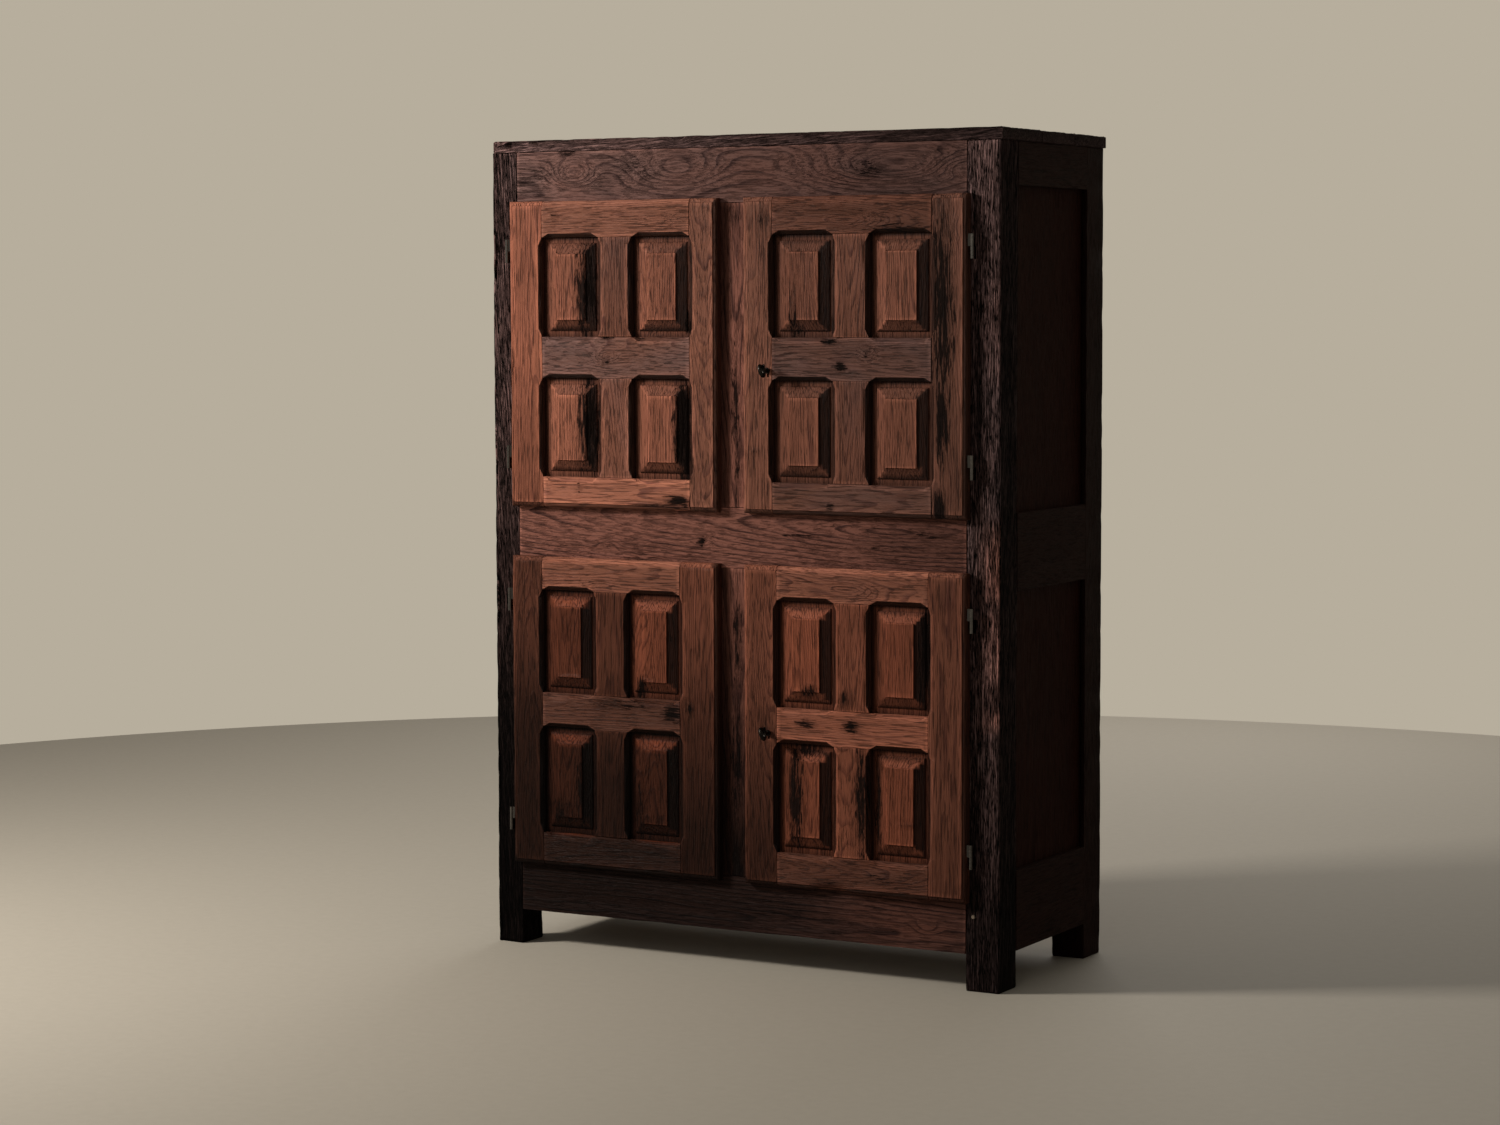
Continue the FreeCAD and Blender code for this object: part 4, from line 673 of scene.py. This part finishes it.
# The upper right door is made in the same way of browner oak, and carries a lock. Its hinge stile
# is furrowed and charred from top to bottom, and its top rail is nearly black.
hung("upper_right_", {
    "hinge_stile": dict(light=(0.638, 0.635, 0.428), grey=0.3, red=0.5,
        marks=[(0.528, 1.525, 0.028, 0.239, 0.82), (0.53, 1.699, 0.017, 0.054, 0.6),
               (0.528, 1.263, 0.019, 0.087, 0.74), (0.523, 1.071, 0.015, 0.035, 0.8)]),
    "closing_stile": dict(light=(0.576, 0.719, 0.717), grey=0.25, red=0.55,
        marks=[(0.078, 1.712, 0.008, 0.031, 0.7), (0.058, 1.184, 0.008, 0.009, 0.7)]),
    "top_rail": dict(light=0.389, grey=0.25, red=0.6,
        knots=[(0.303, 1.708, 0.067, 0.016, 0.014)],
        marks=[(0.425, 1.683, 0.073, 0.011, 0.5)]),
    "middle_rail": dict(light=0.549, grey=0.7, red=0.5,
        knots=[(0.343, 1.407, 0.02, 0.014, 0.012)],
        dents=[(0.248, 1.44, 0.016, 0.01, 0.005, 0.0), (0.278, 1.374, 0.014, 0.008, 0.003, 0.0)],
        marks=[(0.248, 1.437, 0.015, 0.009, 0.9), (0.278, 1.377, 0.013, 0.007, 0.8),
               (0.341, 1.407, 0.007, 0.009, 0.5)]),
    "bottom_rail": dict(light=0.521, grey=0.5, red=0.5,
        marks=[(0.25, 1.063, 0.013, 0.007, 0.7)]),
    "muntins": dict(light=(0.603, 0.505), grey=0.35, red=0.6),
    "panels": dict(light=(0.576, 0.782, 0.673, 0.7), grey=0.2, red=0.65,
        marks=[(0.154, 1.486, 0.008, 0.058, 0.8), (0.167, 1.455, 0.015, 0.018, 0.6)])
})


# The lower left door is the darkest of the four, with redder panels in its oak frame. It is painted
# darker towards the floor and its left, as shade where the key lamp's light falls off.
hung("lower_left_", {
    "hinge_stile": dict(light=(0.254, 0.075, 0.05), grey=0.1, red=0.8),
    "closing_stile": dict(light=(0.507, 0.178, 0.057), grey=0.1, red=0.85,
        marks=[(-0.112, 0.591, 0.007, 0.009, 0.9)]),
    "top_rail": dict(light=0.747, grey=0.15, red=0.65,
        knots=[(-0.353, 0.867, 0.045, 0.012, 0.012)],
        marks=[(-0.519, 0.872, 0.006, 0.024, 0.5)]),
    "middle_rail": dict(light=0.317, grey=0.3, red=0.65,
        marks=[(-0.163, 0.576, 0.027, 0.019, 0.8), (-0.303, 0.589, 0.108, 0.014, 0.45)]),
    # The lighter ovals along the top edge of its bottom rail are a painted highlight on the arris.
    "bottom_rail": dict(light=0.068, grey=0.2, red=0.75,
        dents=[(-0.44, 0.277, 0.05, 0.005, 0.0, 2.5), (-0.205, 0.277, 0.05, 0.005, 0.0, 2.5)]),
    "muntins": dict(light=(0.283, 0.057), grey=0.15, red=0.85),
    # The lighter ovals on its panels lie along their top bevels, as painted highlights.
    "panels": dict(light=(0.28, 0.465, 0.093, 0.115), grey=0.05, red=1.15,
        dents=[(-0.444, 0.826, 0.05, 0.014, 0.0, 0.6), (-0.444, 0.503, 0.05, 0.014, 0.0, 1.2),
               (-0.211, 0.503, 0.05, 0.014, 0.0, 1.2)],
        marks=[(-0.249, 0.632, 0.014, 0.023, 0.9), (-0.407, 0.383, 0.022, 0.085, 0.6),
               (-0.256, 0.342, 0.014, 0.066, 0.7), (-0.471, 0.326, 0.033, 0.033, 0.5)])
}, top_highlight=0.9)


# The lower right door, with the second lock, has oak panels of a strong red. Its lower muntin is
# burnt, and a flake is broken out of its bottom rail.
hung("lower_right_", {
    "hinge_stile": dict(light=(0.441, 0.468, 0.343), grey=0.15, red=0.75),
    "closing_stile": dict(light=(0.556, 0.34, 0.135), grey=0.15, red=0.8),
    "top_rail": dict(light=0.685, grey=0.2, red=0.65,
        knots=[(0.303, 0.882, 0.054, 0.014, 0.012)]),
    "middle_rail": dict(light=0.901, grey=0.05, red=0.8,
        marks=[(0.188, 0.574, 0.023, 0.009, 0.8), (0.303, 0.576, 0.02, 0.014, 0.8)]),
    "bottom_rail": dict(light=0.32, grey=0.25, red=0.7,
        dents=[(0.254, 0.199, 0.04, 0.016, 0.006, 0.2), (0.376, 0.262, 0.05, 0.01, 0.004, 0.2)],
        marks=[(0.254, 0.215, 0.036, 0.009, 0.6), (0.376, 0.234, 0.05, 0.014, 0.3)]),
    "muntins": dict(light=(0.57, 0.556), grey=0.05, red=0.9,
        marks=[(0.33, 0.411, 0.015, 0.124, 0.8), (0.29, 0.634, 0.015, 0.02, 0.6)]),
    "panels": dict(light=(0.67, 0.54, 0.5, 0.52), grey=0.05, red=1.1,
        marks=[(0.485, 0.734, 0.015, 0.115, 0.9), (0.157, 0.411, 0.023, 0.118, 0.75),
               (0.194, 0.647, 0.02, 0.014, 0.7), (0.18, 0.514, 0.041, 0.014, 0.6),
               (0.366, 0.414, 0.01, 0.135, 0.7), (0.445, 0.359, 0.02, 0.007, 0.6)])
}, top_highlight=0.9)


# Small steel barrel hinges carry the doors, two on each door. Their barrels stand in front of the
# posts and are rubbed bright, and the blades let into the wood are dark.
BARREL_AXES = ((-0.610, -0.262), (0.598, -0.262))
# Over this distance from the axis of a barrel the bright steel gives way to the dark blade.
BARREL_EDGE, BLADE_DARK = (0.0042, 0.0046), "1d1814"


def iron(name, dark, light, roughness, metallic, relief, patchy=0.3, coat=0.0, barrels=()):
    """Old iron; near the axis of a hinge barrel it is rubbed bright, and elsewhere dark."""
    recipe = Recipe(name, Metallic=metallic, Coat_Weight=coat, Coat_Roughness=0.1)
    place = recipe.place()
    patches = recipe.noise(place, 120.0, 4.0, 0.6)
    pits = recipe.noise(place, 900.0, 3.0, 0.6)
    colour = recipe.mix(patches.step(0.35, 0.7) * 0.8 + pits.swing(0.3), dark, light)
    if barrels:
        x, y, z = place.axes()
        away = [((x - at_x) ** 2.0 + (y - at_y) ** 2.0).math("SQRT") for at_x, at_y in barrels]
        nearest = away[0].math("MINIMUM", away[1])
        colour = recipe.mix(nearest.step(*BARREL_EDGE), colour, tint(BLADE_DARK))
    return recipe.finish(colour, patches * patchy + roughness, pits + patches, relief)


def finished(slot, material):
    """Gives the metal nodes of a slot their material; their shapes stay."""
    for node in nodes:
        if slot_of[node] == slot:
            nodes[node].data.materials.clear()
            nodes[node].data.materials.append(material)


hinge_steel = iron("hinge_steel", tint("2e2a26"), tint("4a443e"), roughness=0.15, metallic=0.7,
                   relief=0.00006, patchy=0.12, coat=0.8, barrels=BARREL_AXES)
finished("hinge_steel", hinge_steel)


# Box locks of black iron sit inside the right doors, and their steel bolts slide into the mullions.
# The left doors are held by iron bolts in plates, inside too.
dark_iron = iron("dark_iron", tint("15120f"), tint("3a332d"), roughness=0.3, metallic=0.85,
                 relief=0.0004)
worn_steel = iron("worn_steel", tint("4a4642"), tint("8d8880"), roughness=0.3, metallic=1.0,
                  relief=0.0003)
finished("dark_iron", dark_iron)
finished("worn_steel", worn_steel)


# The keys are forged iron. Each bow is round bar, bent to an oval ring that stands a little askew
# on a shank that is thicker in front of the door.
BOW_BAR, BOW_HALF, BOW_DEPTH, BOW_BACK = 0.0044, 0.0162, 0.0108, -0.2882
BOW_LEAN, BAR_FACES, BOW_STEPS = Matrix.Rotation(math.radians(-20), 4, "Y"), 12, 36
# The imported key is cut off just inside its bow, and its axis lies KEY_HEIGHT below its top.
SHANK_END, KEY_HEIGHT = BOW_BACK - 0.0018, 0.0150
# The shank is thicker in front of the door, and widens between these two distances from it.
COLLAR, COLLAR_CUTS = 1.4, (0.0015, 0.0030)
key_iron = iron("key_iron", tint("0d0b0a"), tint("2b2622"), roughness=0.12, metallic=0.9,
                relief=0.0003)
for key in ("upper_key", "lower_key"):
    low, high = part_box(key)
    middle = Vector(((low.x + high.x) / 2, BOW_BACK - BOW_DEPTH, high.z - KEY_HEIGHT))
    bm = copied(key)
    bmesh.ops.bisect_plane(bm, geom=bm.verts[:] + bm.edges[:] + bm.faces[:], dist=ON_CUT,
                           clear_outer=True, plane_co=(0, SHANK_END, 0), plane_no=(0, -1, 0))
    bmesh.ops.holes_fill(bm, edges=[edge for edge in bm.edges if edge.is_boundary])
    for cut in COLLAR_CUTS:
        sliced(bm, 1, DOOR_FACE - cut)
    for vertex in bm.verts:
        if vertex.co.y < DOOR_FACE - sum(COLLAR_CUTS) / 2:
            vertex.co.x = middle.x + (vertex.co.x - middle.x) * COLLAR
            vertex.co.z = middle.z + (vertex.co.z - middle.z) * COLLAR
    before = set(bm.verts)
    bar = Matrix.Translation((0, 0, BOW_HALF - BOW_BAR)) @ QUARTER_TURN
    section = bmesh.ops.create_circle(bm, radius=BOW_BAR, segments=BAR_FACES, matrix=bar)["verts"]
    loop = section + list({edge for vertex in section for edge in vertex.link_edges})
    bmesh.ops.spin(bm, geom=loop, cent=(0, 0, 0), axis=(1, 0, 0), angle=math.tau, steps=BOW_STEPS,
                   use_merge=True)
    bmesh.ops.transform(bm, verts=[vertex for vertex in bm.verts if vertex not in before],
                        matrix=Matrix.Translation(middle) @ BOW_LEAN
                        @ Matrix.Diagonal((1, BOW_DEPTH / BOW_HALF, 1, 1)))
    bmesh.ops.recalc_face_normals(bm, faces=bm.faces)
    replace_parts(linked(key + "_forged", bm, key_iron, body_of[key], slot_of[key]), key)


# The studio: a plain, pale, round floor, a plain backdrop, a key lamp on the left as in the
# photograph, a weak lamp in front and one behind, and the camera at the photograph's place.
FLOOR_RADIUS = 4.6
floor_recipe = Recipe("pale_floor")
grit = floor_recipe.noise(floor_recipe.place(), 40.0, 5.0, 0.6)
floor_paint = floor_recipe.finish(floor_recipe.mix(grit, tint("b3ab9d"), tint("bdb5a7")), 0.8)
bm = bmesh.new()
bmesh.ops.create_circle(bm, cap_ends=True, segments=128, radius=FLOOR_RADIUS)
floor_mesh = bpy.data.meshes.new("floor")
bm.to_mesh(floor_mesh)
bm.free()
floor_mesh.materials.append(floor_paint)
floor = bpy.data.objects.new("floor", floor_mesh)
bpy.context.scene.collection.objects.link(floor)

world = bpy.data.worlds.new("studio")
world.use_nodes = True
bpy.context.scene.world = world
links, sky = world.node_tree.links, world.node_tree.nodes
# Camera, glossy and transmitted rays meet the backdrop, and all others the weaker glow.
backdrop = sky.new("ShaderNodeBackground")
backdrop.inputs["Color"].default_value = tint("b7ae9d")
glow = sky["Background"]
glow.inputs["Color"].default_value = tint("d9d6d0")
glow.inputs["Strength"].default_value = 0.14
path = sky.new("ShaderNodeLightPath")
either = sky.new("ShaderNodeMixShader")
backdrop_rays = path.outputs["Is Camera Ray"]
for ray in ("Is Glossy Ray", "Is Transmission Ray"):
    either_ray = sky.new("ShaderNodeMath")
    either_ray.operation = "MAXIMUM"
    links.new(backdrop_rays, either_ray.inputs[0])
    links.new(path.outputs[ray], either_ray.inputs[1])
    backdrop_rays = either_ray.outputs[0]
links.new(backdrop_rays, either.inputs[0])
links.new(glow.outputs["Background"], either.inputs[1])
links.new(backdrop.outputs["Background"], either.inputs[2])
links.new(either.outputs["Shader"], sky["World Output"].inputs["Surface"])


def lamp(name, place, target, size, power, colour):
    """A rectangular lamp at a place, turned to its target. Its power is in watts."""
    data = bpy.data.lights.new(name, "AREA")
    data.shape = "RECTANGLE"
    data.size, data.size_y = size
    data.energy = power
    data.color = colour
    light = bpy.data.objects.new(name, data)
    light.location = place
    light.rotation_euler = (Vector(target) - Vector(place)).to_track_quat("-Z", "Y").to_euler()
    bpy.context.scene.collection.objects.link(light)


WARM, SOFT_WARM, SMALL, LARGE = (1.0, 0.95, 0.88), (1.0, 0.97, 0.93), (0.8, 0.8), (3.0, 2.4)
lamp("key_light", (-3.2, -2.5, 2.8), (0, -0.2, 1.1), SMALL, 168, WARM)
lamp("fill_light", (1.0, -5.5, 2.2), (0, 0, 0.9), LARGE, 16, SOFT_WARM)
lamp("back_light", (-0.9, 5.0, 2.8), (0, 0.3, 1.0), LARGE, 70, SOFT_WARM)

# The focal length is 3378 pixels of a picture 1500 wide. The camera's turns are in degrees.
CAMERA_AT, SENSOR_WIDTH, FOCAL_SHARE = (3.797, -6.907, 1.526), 36.0, 3378 / 1500
TURNS = ((29.47, "Z"), (90 - 4.44, "X"), (-0.17, "Z"))
camera_data = bpy.data.cameras.new("camera")
camera_data.sensor_width = SENSOR_WIDTH
camera_data.lens = camera_data.sensor_width * FOCAL_SHARE
camera = bpy.data.objects.new("camera", camera_data)
camera.location = CAMERA_AT
turned, tipped, rolled = (Matrix.Rotation(math.radians(angle), 3, axis) for angle, axis in TURNS)
camera.rotation_euler = (turned @ tipped @ rolled).to_euler()
bpy.context.scene.collection.objects.link(camera)
bpy.context.scene.camera = camera
bpy.context.scene.view_settings.view_transform = "Standard"
